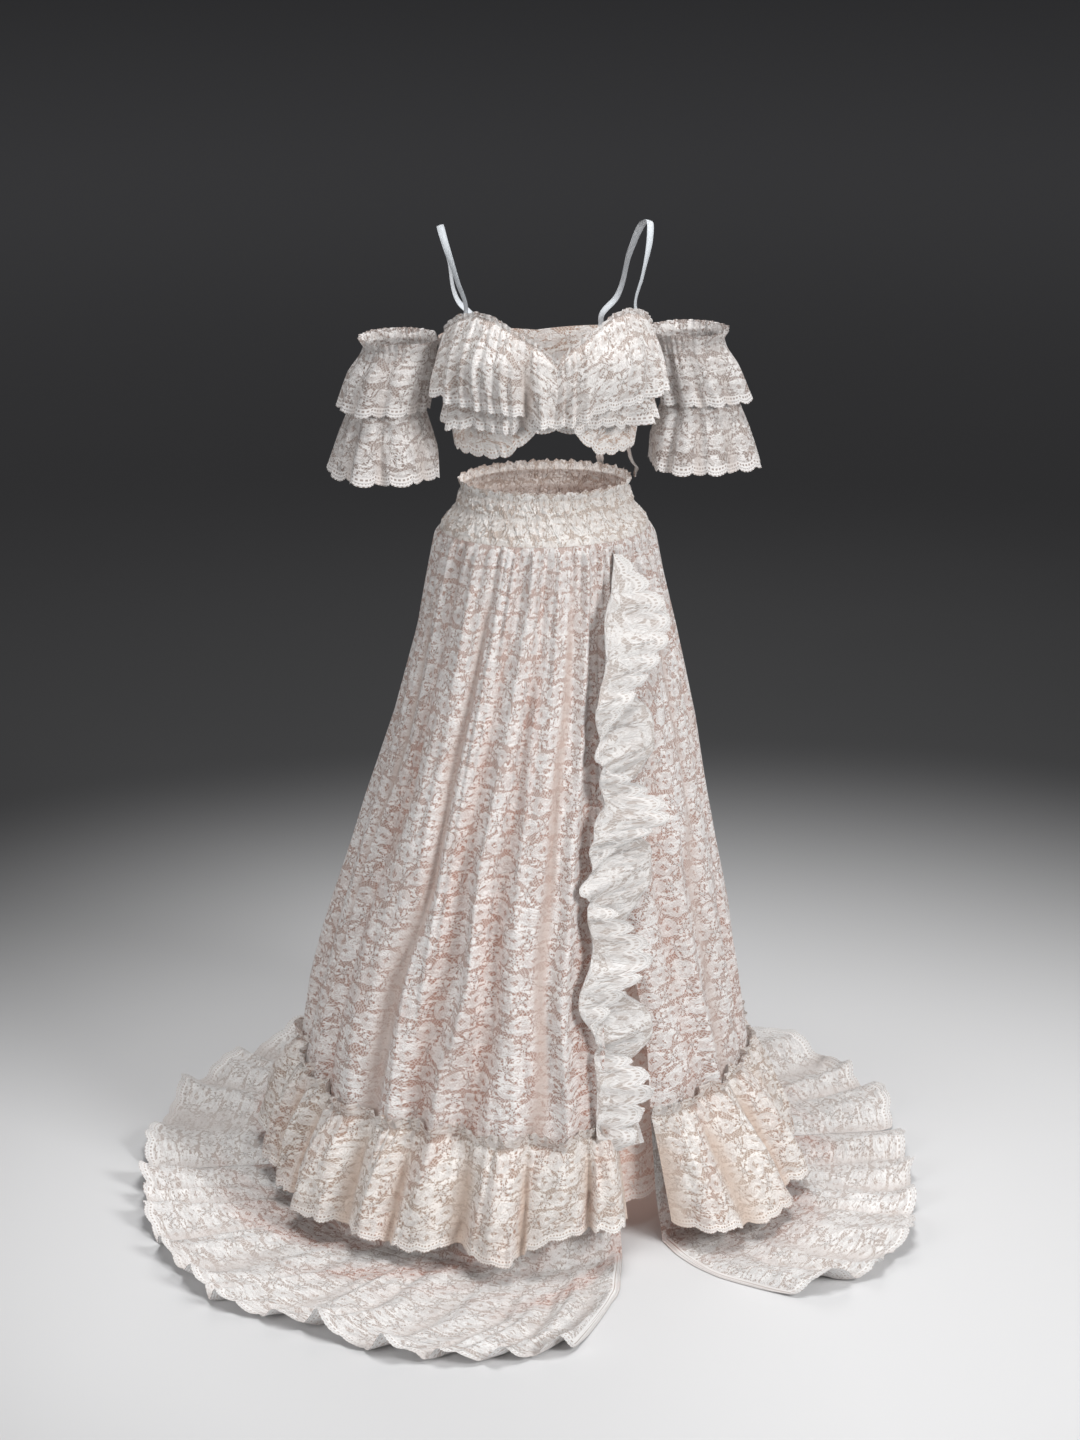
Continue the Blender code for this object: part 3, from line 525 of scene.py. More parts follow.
def wear(
    cloth: Cloth, solid: str, stuff: Stuff, finish: bpy.types.Material
) -> bpy.types.Object:
    """Builds a piece of cloth in place of its solid.

    Args:
        cloth: The surface.
        solid: The solid that it stands for, which also names it.
        stuff: What it is made of.
        finish: Its material.

    Returns:
        The finished object.
    """
    suffix, slot = stuff.value
    name = f"{solid}_{suffix}"
    piece = cloth.build(name)
    piece.data.materials.append(finish)
    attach(piece, "root")
    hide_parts(solid)
    width, length = cloth.cut()
    area = min(max(cloth.area(), LEAST_AREA_SHARE * width * length), width * length)
    LOG.info("%s: %d points, cut %.2f by %.2f m", name, cloth.points[..., 0].size, width, length)
    return piece


SLIT_FRONT = SlitRow._fields.index("front_edge")
SLIT_SIDE = SlitRow._fields.index("side_edge")


@dataclass(frozen=True)
class Panel:
    """A third of the skirt between two edges, with its folds.

    Attributes:
        name: Which panel.
        folds: Its folds from left to right.
        backed: For the valleys from left to right, 1 where the lace lies double and 0 where the lining shows.
        left_edge: A fixed angle, or a column of the slit's table.
        right_edge: The same for the other edge.
        columns_per_fold: How finely its grids follow a fold.
        gather_depth: How far the small gathers under the yoke stand out.
        gather_fall: The distance in which the gathers lose most of their depth.
        fold_drift: How far a fold wanders sideways as it falls, in folds.
        fold_lean: How far a fold leans to one side, in folds.
        middle_depth: How deep the folds of half the width are, which fade downwards.
        swell_depth: How far the cloth swells unevenly.
        valley_width: The part of a fold's roll that counts as its valley.
    """

    name: str
    folds: Sequence[Fold]
    backed: Sequence[float]
    left_edge: Union[int, float]
    right_edge: Union[int, float]
    columns_per_fold: int = 36
    gather_depth: float = 0.0064
    gather_fall: float = 0.230
    fold_drift: float = 0.16
    fold_lean: float = 0.12
    middle_depth: float = 0.0042
    swell_depth: float = 0.0022
    valley_width: float = 0.42

    @property
    def phase(self) -> np.ndarray:
        """The columns, counted in folds."""
        return np.linspace(0.0, len(self.folds), len(self.folds) * self.columns_per_fold + 1)[None, :]

    def share(self, phase: np.ndarray) -> np.ndarray:
        """The share of the panel's width at a place counted in folds."""
        ends = np.cumsum([0.0] + [fold.share for fold in self.folds])
        return np.interp(phase, np.arange(len(self.folds) + 1), ends / ends[-1])

    def edge(self, edge: Union[int, float], height: np.ndarray) -> np.ndarray:
        """An edge's angle at a height."""
        if isinstance(edge, int):
            return by_height(SLIT, edge, height)
        return np.full_like(np.asarray(height, float), edge)

    def angle(self, phase: np.ndarray, height: np.ndarray) -> np.ndarray:
        """The angle of a column at a height."""
        left = self.edge(self.left_edge, height)
        return left + (self.edge(self.right_edge, height) - left) * self.share(phase)

    def folded(self, phase: np.ndarray, height: np.ndarray) -> tuple[np.ndarray, np.ndarray]:
        """The folds' depth and where they are deep.

        Args:
            phase: The column, counted in folds.
            height: Heights above the floor.

        Returns:
            How far the cloth stands out from its section: each fold's depth times a roll, growing downwards,
            plus shallower halves of a fold and small gathers that fade below the yoke, plus a shallow uneven
            swell. And how deep in a valley each point lies, from 0 to 1.
        """
        count = len(self.folds)
        inside = np.clip(np.minimum(phase, count - phase), 0, 1)
        drift = self.fold_drift * inside * wander(height * 4.0 + 0.35 * phase, 2.0)
        drifted = np.clip(phase + drift * np.clip((0.96 - height) / 0.2, 0, 1), 0.0, count)
        number = np.minimum(drifted.astype(int), count - 1)
        depths = np.array([fold.depth for fold in self.folds])
        growth = np.interp(height, FOLD_HEIGHTS, FOLD_GROWTH)
        lively = 1.0 + 0.18 * wander(height * 3.1 + 1.9 * number, 5.0)
        below = np.clip(YOKE_BOTTOM - height, 0.0, 1.0)
        halves = roll(2 * phase + 0.5 + 0.25 * wander(height * 5.0 + phase, 6.0), 1.0)
        middle = self.middle_depth * inside * halves * np.clip(below / 0.08, 0, 1) * np.exp(-below / 0.42)
        place = GATHERS_PER_FOLD * phase
        gather_number = np.floor(place)
        small = crest(place) * uneven(gather_number + 3, 0.35)
        fall = self.gather_fall * uneven(gather_number, 0.45)
        fade = (1.0 - np.exp(-below / 0.006)) * np.exp(-below / fall)
        swell = self.swell_depth * wander(4.0 * phase + 5.0 * height, 9.0) * np.clip(below / 0.1, 0, 1) * inside
        leans = np.array(FOLD_LEANS)[number % len(FOLD_LEANS)]
        leant = drifted + self.fold_lean * leans * np.sin(2 * np.pi * drifted)
        large = depths[number] * roll(leant) * lively
        out = growth * (large - 0.5 * MEAN_FOLD) + middle + self.gather_depth * small * fade + swell
        deep = np.clip(depths[number] / 0.022, 0.4, 1.0)
        backed = np.array(self.backed)[np.clip(np.round(drifted).astype(int), 0, count)]
        # Mask of painted shade: the fold valleys, darker in deep folds and where the lace lies double, fading
        # out just below the yoke, plus the small gathers' valleys.
        valley = np.clip(1.0 - roll(drifted, 1.0) / self.valley_width, 0.0, 1.0) ** 1.3 * deep
        valley = valley * (0.4 + 0.6 * backed) * np.clip(below / 0.15, 0.0, 1.0)
        valley_small = np.clip(1.0 - crest(place, 1.0) / 0.5, 0.0, 1.0) * fade
        return out, np.maximum(valley, 0.4 * valley_small)

    def blush(self, phase: np.ndarray, height: np.ndarray) -> np.ndarray:
        """How much of the blush lining shows, from 0 to 1: most in the valleys where the lace lies single, and
        less on the crests, which also paints shade into the valleys.
        """
        count = len(self.folds)
        phase, height = np.broadcast_arrays(phase, height)
        backed = np.array(self.backed)[np.clip(np.round(phase).astype(int), 0, count)]
        single = (1.0 - roll(phase, 1.0)) ** 1.3 * (1.0 - backed)
        patches = 0.5 + 0.5 * wander(1.3 * phase + 7.0 * height, 4.0)
        lower = np.clip((0.95 - height) / 0.30, 0.15, 1.0) * (0.45 if self.name == "side" else 1.0)
        # Less lining shows on the crests than between them: partly the lining itself, partly painted shade in
        # the valleys.
        between = (0.12 + 0.32 * patches) * (1.0 - 0.85 * roll(phase, 1.2))
        return np.clip((between + 0.95 * single) * lower, 0.0, 1.0)

    def cloth(
        self, phase: np.ndarray, height: np.ndarray, out: float = 0.0, folding: float = 1.0
    ) -> np.ndarray:
        """The panel's surface, moved out, with its folds kept or shallower."""
        phase, height = np.broadcast_arrays(phase, np.asarray(height, float))
        angle = self.angle(phase, height)
        towards_hem = np.clip((YOKE_BOTTOM - height) / (YOKE_BOTTOM - RUFFLE_SEAM), 0, 1)
        swell = by_angle(SKIRT_SWELL, angle) * towards_hem**SWELL_POWER
        return ring(SKIRT_SECTIONS, angle, height, out + swell + folding * self.folded(phase, height)[0])


def skirt_panels() -> tuple[Panel, Panel, Panel]:
    """The three panels of the skirt, from the slit round by the left side seam."""
    return (
        Panel("front", FRONT_FOLDS, FRONT_BACKED, -SEAM_ANGLE + SEAM_PARTING, SLIT_FRONT),
        Panel("side", SIDE_FOLDS, SIDE_BACKED, SLIT_SIDE, SEAM_ANGLE - SEAM_PARTING),
        Panel("back", BACK_FOLDS, BACK_BACKED, SEAM_ANGLE + SEAM_PARTING, 360.0 - SEAM_ANGLE - SEAM_PARTING),
    )


@dataclass(frozen=True)
class Skirt:
    """The long skirt: yoke, gathered panels, hem ruffles, train, slit ruffle and underskirt.

    Attributes:
        panel_rows: The grid rows of a panel.
        ruffle_body_rows: The grid rows of a hem ruffle below its seam.
        ruffle_heading_rows: The same above it.
        ruffle_valley: How far a hem ruffle's valleys fall back at the hem.
        ruffle_bulge: How far its puffs round out between seam and hem.
        ruffle_hem_wave: How much higher its hem is on a crest.
        ruffle_heading_rise: The height of its frilled heading.
        ruffle_roundness: The power of a puff's roll: below 1, broad crests and narrow gaps.
        ruffle_gathers: Its small gathers to a puff.
        ruffle_frill: How far its heading's frills stand out.
        ruffle_pleat: How far its small gathers do.
        scallop_period: The length of a scallop on the skirt's edges.
        scallop_depth: The depth of one.
        train_rows: The grid rows of the train on the floor, with a quarter more on its wall.
        train_wall_height: The height at which the panels' wall ends and the train turns out.
        train_wall_folds: How much of the folds' depth is left there.
        train_valley: The height of the train's valleys above the floor.
        train_scallop: How far its edge falls back in a valley.
        train_ripple: How high its second row of ripples stands at the edge.
        yoke_columns: The grid columns of half a yoke.
        yoke_rows: Its grid rows.
        yoke_frill: How far its frill stands out.
        yoke_crinkle: How far its crinkles stand out.
        crinkle_pitch: The mean angle from crinkle to crinkle, in degrees.
        frill_pitch: The angle of a wave of the frill, in degrees.
        cascade_rows: The grid rows of the slit ruffle.
        cascade_columns: Its grid columns.
        cascade_drop: How far its free edge drops, as a share of its reach.
        cascade_twist: How far the cloth turns over between seam and edge.
        cascade_lift: How far it stands off the skirt.
        skirt_slope: How far the skirt comes out for each metre down.
        underskirt_columns: The grid columns of the underskirt.
        underskirt_rows: Its grid rows.
        underskirt_flute: The depth of its flutes for each metre down.
        flute_pitch: The angle of a flute, in degrees.
    """

    panel_rows: int = 150
    ruffle_body_rows: int = 44
    ruffle_heading_rows: int = 7
    ruffle_valley: float = 0.038
    ruffle_bulge: float = 0.014
    ruffle_hem_wave: float = 0.006
    ruffle_heading_rise: float = 0.024
    ruffle_roundness: float = 0.72
    ruffle_gathers: float = 5.0
    ruffle_frill: float = 0.0095
    ruffle_pleat: float = 0.0075
    scallop_period: float = SKIRT_SCALLOP
    scallop_depth: float = SCALLOP_DEPTH
    train_rows: int = 84
    train_wall_height: float = 0.070
    train_wall_folds: float = 0.6
    train_valley: float = 0.0006
    train_scallop: float = 0.010
    train_ripple: float = 0.0100
    yoke_columns: int = 360
    yoke_rows: int = 72
    yoke_frill: float = 0.0042
    yoke_crinkle: float = 0.0030
    crinkle_pitch: float = 3.4
    frill_pitch: float = 7.2
    cascade_rows: int = 260
    cascade_columns: int = 44
    cascade_drop: float = 0.30
    cascade_twist: float = 0.042
    cascade_lift: float = 0.009
    skirt_slope: float = 0.42
    underskirt_columns: int = 360
    underskirt_rows: int = 76
    underskirt_flute: float = 0.010
    flute_pitch: float = 20.0

    def panel_cloth(self, panel: Panel) -> Cloth:
        """A gathered panel: the panel's surface from the yoke's seam to below the hem ruffle's seam."""
        share = np.linspace(0.0, 1.0, self.panel_rows)[:, None]
        height = PANEL_TOP + (PANEL_END - PANEL_TOP) * share**1.12
        points = panel.cloth(panel.phase, height, out=SURFACE_OUT)
        along = run_length(panel.cloth(panel.phase[0], PANEL_MEASURE))[None, :] + 0.3 * len(panel.folds)
        down = np.broadcast_to(PANEL_TOP - height, points.shape[:2])
        along, down = np.broadcast_arrays(along, down)
        valley = panel.folded(*np.broadcast_arrays(panel.phase, height))[1]
        lining = panel.blush(panel.phase, height)
        return Cloth(points, along, down, np.full(points.shape[:2], NO_EDGE), valley, blush=lining)

    def hem_ruffle_cloth(self, panel: Panel) -> Cloth:
        """The gathered ruffle over a panel's lower end.

        A small frilled heading stands above its seam. Below, the cloth leaves the seam in small gathers and
        flares into waves that are deepest at the hem and lean over their valleys.
        """
        phase = panel.phase
        seam = panel.cloth(phase[0], RUFFLE_SEAM, out=LACE + GAP + 0.0008)
        count = len(panel.folds)
        ends = np.clip(np.minimum(phase[0], count - phase[0]) / 0.3, 0, 1)
        place = phase[0] + 0.10 * ends * wander(1.7 * phase[0], 3.0)
        puff = roll(place, self.ruffle_roundness) * uneven(np.floor(place) + 1, LOWEST_WAVE)
        dents = roll(3.0 * place + 0.5 + 0.3 * wander(place, 8.0), 1.0)
        wave = np.clip(puff - 0.22 * dents * ends * puff, 0.0, 1.0)
        small = 6.0 * place + 0.30 * wander(2.3 * place, 4.0)
        frill = crest(small, 1.0) * uneven(np.floor(small), 0.4)
        rows = []
        out_way = outward(seam)
        for share in np.linspace(1.0, 0.0, self.ruffle_heading_rows, endpoint=False):
            row = seam + out_way * ((0.0016 + self.ruffle_frill * frill) * share**0.8)[:, None]
            row[:, 2] += self.ruffle_heading_rise * share * (0.80 + 0.20 * wander(4.4 * place, 5.0))
            rows.append(row)
        angle = panel.angle(phase[0], 0.0)
        lean = -1.5 * np.sin(2 * np.pi * place) * puff
        reach = by_angle(RUFFLE_REACH, angle) - self.ruffle_valley * (1 - wave)
        hem = polar(angle + lean * ends, reach, by_angle(RUFFLE_HEM, angle) + self.ruffle_hem_wave * wave)
        along = run_length(hem)
        length = np.linalg.norm(hem - seam, axis=-1)
        reach_past = scallops(along, self.scallop_period, self.scallop_depth) / length
        gather = self.ruffle_gathers * place
        fine = crest(gather, 1.0) * uneven(np.floor(gather) + 5, 0.3)
        for share in np.linspace(0.0, 1.0, self.ruffle_body_rows):
            bulge = self.ruffle_bulge * np.sin(np.pi * share**0.75) * (0.15 + 0.85 * wave)
            fading = (0.25 + 0.75 * np.exp(-share / 0.30)) * (1.0 - np.exp(-share / 0.02))
            pleat = self.ruffle_pleat * fine * fading
            bend = 6.3 * place + 0.8 * wander(3.1 * place + 1.5 * share, 7.0)
            crinkle = crest(bend, 0.8) * (0.6 + 0.4 * wander(4.0 * place + 4.0 * share, 2.0))
            ripple = 0.0024 * wander(6.1 * place + 3.0 * share, 6.0) + 0.0046 * (crinkle - 0.5)
            ripple = ripple * share**0.5 * ends
            way = (share + reach_past * share**2)[:, None]
            rounding = 0.005 * np.sin(np.pi * share) * wave
            rows.append(seam + (hem - seam) * way + out_way * (bulge + pleat + ripple + rounding)[:, None])
        points = np.array(rows)
        heading = np.linspace(1.0, 0.0, self.ruffle_heading_rows, endpoint=False) * -self.ruffle_heading_rise
        down_share = np.concatenate([heading, np.linspace(0, 1, self.ruffle_body_rows) * length.mean()])
        down, along_all = np.broadcast_arrays(down_share[:, None], along[None, :])
        edge = (1.0 - np.clip(down_share / length.mean(), None, 1.0))[:, None] * length[None, :]
        # Mask of painted shade: the gaps between the puffs, growing over the first 5 cm below the seam.
        valley = np.clip(1.0 - puff / 0.42, 0, 1)[None, :] * np.clip(down_share / 0.05, 0, 1)[:, None]
        blush = np.clip(0.10 + 0.40 * wander(1.8 * place[None, :] + 9.0 * down_share[:, None], 6.0), 0, 0.5)
        return Cloth(points, along_all, down, edge, valley, blush=blush)

    def train_cloth(self, panel: Panel) -> Cloth:
        """The part of a panel below the ruffle's seam: it falls to the floor and spreads over it in folds.

        The first fifth of the rows falls from the skirt to the floor. The rest lie on it, at a share of the way
        from the foot ring to the train's edge, and rise to a crest that grows outwards.
        """
        phase = panel.phase[0]
        count = len(panel.folds)
        inside = np.clip(np.minimum(phase, count - phase) / 0.5, 0, 1)
        ends = np.clip(np.minimum(phase, count - phase) / 0.4, 0, 1)
        place = TRAIN_WAVES_PER_FOLD * phase + 0.20 * inside * wander(1.6 * phase, 2.0)
        wave = roll(place, 0.9) * uneven(np.floor(place) + 1, LOWEST_WAVE)
        second_wave = roll(2.3 * place + 0.4 * wander(phase, 1.0), 1.0) * inside
        shares, front_edges, side_edges, crests = (list(column) for column in zip(*TRAIN_ROWS))
        rows, side_gap = [], []
        wall = np.linspace(0, 2, self.train_rows // 4, endpoint=False)
        stretch = np.concatenate([wall, np.linspace(2, 5, self.train_rows)])
        edge_run = None
        for at in stretch[::-1]:
            share = smooth_table(max(at - 2.0, 0.0), range(len(shares)), shares)
            edges = {
                SLIT_FRONT: float(smooth_table(share, shares, front_edges)),
                SLIT_SIDE: float(smooth_table(share, shares, side_edges)),
            }
            left = edges.get(panel.left_edge, panel.left_edge)
            right = edges.get(panel.right_edge, panel.right_edge)
            angle = left + (right - left) * panel.share(phase)
            foot = ring(SKIRT_SECTIONS, angle, 0.0, by_angle(SKIRT_SWELL, angle))
            foot_radius = np.hypot(foot[:, 0], foot[:, 1])
            full_radius = by_angle(TRAIN_EDGE, angle) - self.train_scallop * (1 - wave) * share**2
            if edge_run is None:
                edge_run = run_length(polar(angle, full_radius, np.zeros_like(angle)))
                past = scallops(edge_run, self.scallop_period, self.scallop_depth)
            radius = foot_radius + (full_radius - foot_radius + past * share**3) * share
            rise = float(smooth_table(share, shares, crests))
            curl = 0.012 * np.clip((share - 0.90) / 0.10, 0, 1) ** 1.5 * (0.5 + 0.5 * wander(1.1 * place, 6.0))
            ripple = 0.0024 * wander(2.3 * place + 6.0 * share, 3.0) * inside
            second = second_wave * (0.45 + 0.55 * wander(1.3 * phase + 2.0 * share, 4.0))
            ripple = (ripple + self.train_ripple * second) * share
            lively = 0.85 + 0.25 * wander(3.0 * share + 0.8 * place, 8.0)
            height = self.train_valley + np.maximum(rise * wave * lively + ripple + curl, 0.0)
            lean = 0.4 * np.sin(2 * np.pi * place) * wave * share
            row = polar(angle + lean * ends, radius, height)
            if at < 2.0:
                way = min(at, 1.0)
                level = PANEL_END + (self.train_wall_height - PANEL_END) * way
                folding = 1.0 + (self.train_wall_folds - 1.0) * way
                falling = panel.cloth(phase, level, out=SURFACE_OUT, folding=folding)
                row = falling + (row - falling) * max(at - 1.0, 0.0)
            rows.append(row)
            beyond = []
            if panel.left_edge in edges:
                beyond.append(np.radians(angle - left) * radius)
            if panel.right_edge in edges:
                beyond.append(np.radians(right - angle) * radius)
            side_gap.append(np.min(beyond, axis=0) if beyond and at >= 2.0 else np.full_like(radius, NO_EDGE))
        points = np.array(rows[::-1])
        side_gap = np.array(side_gap[::-1])
        steps = np.linalg.norm(np.diff(points, axis=0), axis=-1)
        down = np.concatenate([np.zeros((1, steps.shape[1])), np.cumsum(steps, axis=0)])
        edge = np.minimum(down[-1:] - down, side_gap)
        along, down = np.broadcast_arrays(edge_run[None, :], down)
        row_share = np.linspace(0, 1, len(points))[:, None]
        # Mask of painted shade: the valleys between the train's waves out on the floor.
        valley = np.clip(1.0 - wave / 0.4, 0, 1)[None, :] * np.clip(row_share * 2 - 0.4, 0, 1)
        near_foot = np.clip((0.66 - row_share) / 0.2, 0, 1)
        blush = np.clip(near_foot * (0.40 + 0.9 * wander(1.2 * phase[None, :] + 5.0 * row_share, 3.0)), 0, 1)
        return Cloth(points, along, down, edge, valley, blush=blush)

    def yoke_cloth(self, middle_angle: float) -> Cloth:
        """Half of the elastic yoke: shirred in bands between rows of elastic, with a small frill at its top.

        The crinkles are uneven waves 6 to 9 mm long, pulled flat along each row of elastic.
        """
        half = SEAM_ANGLE - SEAM_PARTING
        angle = (middle_angle + np.linspace(-half, half, self.yoke_columns + 1))[None, :]
        height = np.linspace(YOKE_TOP, YOKE_BOTTOM, self.yoke_rows)[:, None]
        bend = 0.8 * wander(height * 70.0 + angle / 9.0, 1.0) + 0.5 * wander(angle / 5.0 - height * 40.0, 3.0)
        crinkle = roll(angle / self.crinkle_pitch + bend, 0.8)
        crinkle = crinkle * (0.6 + 0.4 * wander(angle / 3.0 + height * 90.0, 2.0))
        nearest = np.abs(height[..., None] - np.array(ELASTIC_HEIGHTS)).min(axis=-1)
        puff = np.clip(nearest / 0.007, 0.15, 1.0)
        frill_share = np.clip((height - TOP_ELASTIC) / 0.012, 0.0, 1.0)
        frill_place = angle / self.frill_pitch
        frill = 0.25 + crest(frill_place, 1.0) * uneven(np.floor(frill_place), 0.4)
        edge_fade = np.clip(half - np.abs(angle - middle_angle), 0.0, 1.0)
        shirring = self.yoke_crinkle * crinkle * puff * (1 - frill_share)
        out = 0.0004 + (shirring + self.yoke_frill * frill_share * frill) * edge_fade
        height_moved = height + 0.0022 * frill_share * wander(angle / 4.0, 7.0)
        points = ring(SKIRT_SECTIONS, angle, height_moved, out)
        girth = run_length(ring(SKIRT_SECTIONS, angle[0], YOKE_MEASURE))
        along = np.broadcast_to(girth[None, :] * 1.9, points.shape[:2])
        down = np.broadcast_to(YOKE_TOP - height, points.shape[:2])
        # Mask of painted shade: between the crinkles and along the rows of elastic, none in the frill.
        valley = np.clip(1.0 - crinkle * puff - frill_share, 0, 1)
        return Cloth(points, along, down, np.full(points.shape[:2], NO_EDGE), valley)

    def underskirt_cloth(self) -> Cloth:
        """The blush underskirt: a slim tube with flutes that deepen downwards, and a scalloped lace hem."""
        turn = np.arange(self.underskirt_columns) * 360.0 / self.underskirt_columns
        angle = turn[None, :]
        body = np.linspace(UNDERSKIRT_SECTIONS_START, UNDERSKIRT_HEM, self.underskirt_rows)
        levels = np.concatenate([[UNDERSKIRT_TOP, 1.0015], body])
        lap = levels > body[0]
        flute = 0.5 - 0.5 * np.cos(2 * np.pi * angle / self.flute_pitch)
        depth = np.where(lap, 0.0, self.underskirt_flute * (1.0 - levels))[:, None]
        along = run_length(ring(UNDERSKIRT_SECTIONS, np.append(turn, 360.0), UNDERSKIRT_MEASURE))
        past = scallops(along[:-1], along[-1] / 36.0, self.scallop_depth)
        height = levels[:, None] - past[None, :] * np.clip((0.20 - levels) / 0.155, 0, 1)[:, None]
        below = np.clip((body[0] - levels) / 0.2, 0, 1)[:, None]
        uneven_wall = 0.0016 * wander(6.0 * height + 0.11 * angle, 3.0) * below
        uneven_wall = uneven_wall * np.sin(np.radians(angle / 2)) ** 0.5
        points = ring(UNDERSKIRT_SECTIONS, angle, height, -depth * flute + uneven_wall)
        points[lap] = ring(SKIRT_SECTIONS, angle, levels[lap][:, None], -(LACE + 2 * GAP))
        down = np.broadcast_to((UNDERSKIRT_TOP - levels)[:, None], (len(levels), len(along)))
        edge = np.maximum(levels[:, None] - UNDERSKIRT_HEM, 0.0) * np.ones_like(angle)
        along = np.broadcast_to(along[None, :], down.shape)
        # The flutes are the mask of painted shade.
        return Cloth(points, along, down, edge, flute * below, closed=True)

    def slit_ruffle_cloth(self, front: Panel) -> Cloth:
        """The ruffle along the slit's front edge: its free edge swings to and fro as it falls.

        A point at share s of the width lies at the seam, plus the sideways swing times s, less a roll times the
        sine of half a turn times s, plus a twist times the sine of a whole turn times s. It stands out by the
        reach times the sine of a quarter turn times s, and it drops by a set share of the reach.
        """
        edge_levels = np.linspace(PANEL_TOP, PANEL_END, 200)
        last_fold = np.full(edge_levels.size, float(len(front.folds)))
        edge = front.cloth(last_fold, edge_levels, out=LACE + GAP + SURFACE_OUT)
        heights = np.linspace(CASCADE[0].height, CASCADE[-1].height, self.cascade_rows)
        levels = heights - WAIST_HEIGHT
        seam = np.stack([np.interp(levels, edge[::-1, 2], edge[::-1, axis]) for axis in range(3)], axis=-1)
        out_way = outward(seam)
        side_way = np.stack([-out_way[:, 1], out_way[:, 0], np.zeros(self.cascade_rows)], axis=-1)
        table_heights, *columns = zip(*CASCADE[::-1])
        sideways, out, rolled = (smooth_table(heights, table_heights, column) for column in columns)
        drop = self.cascade_drop * np.hypot(sideways, out)
        share = np.linspace(0.0, 1.0, self.cascade_columns)[None, :]
        rolled = rolled[:, None]
        started = np.clip((CASCADE[0].height - heights) / 0.08, 0, 1)[:, None]
        twist = self.cascade_twist * np.clip(1.0 - (rolled / 0.085) ** 2, 0, 1) * started
        free = seam + side_way * sideways[:, None] + out_way * out[:, None]
        free[:, 2] -= drop
        along = run_length(free)
        past = scallops(along, 0.034, self.scallop_depth)[:, None] / 0.07
        ripple = 0.0030 * wander(heights[:, None] * 40.0 + 1.5 * share, 1.0) * share
        way = share * (1.0 + past * share)
        inner = np.clip(way, 0, 1)
        over = self.cascade_lift * started * np.clip(inner / 0.2, 0, 1)
        lift = over + out[:, None] * np.sin(0.5 * np.pi * way) + self.skirt_slope * drop[:, None] * way + ripple
        aside = sideways[:, None] * way - rolled * np.sin(np.pi * inner) + twist * np.sin(2 * np.pi * inner)
        points = seam[:, None] + side_way[:, None] * aside[..., None] + out_way[:, None] * lift[..., None]
        points[..., 2] -= drop[:, None] * way
        width = np.linalg.norm(np.diff(points, axis=1), axis=-1).sum(axis=1)
        along_all, down = np.broadcast_arrays(along[:, None], share * 0.085)
        edge_gap = (1.0 - share) * width[:, None]
        return Cloth(points, along_all, down, edge_gap, np.zeros((self.cascade_rows, self.cascade_columns)))


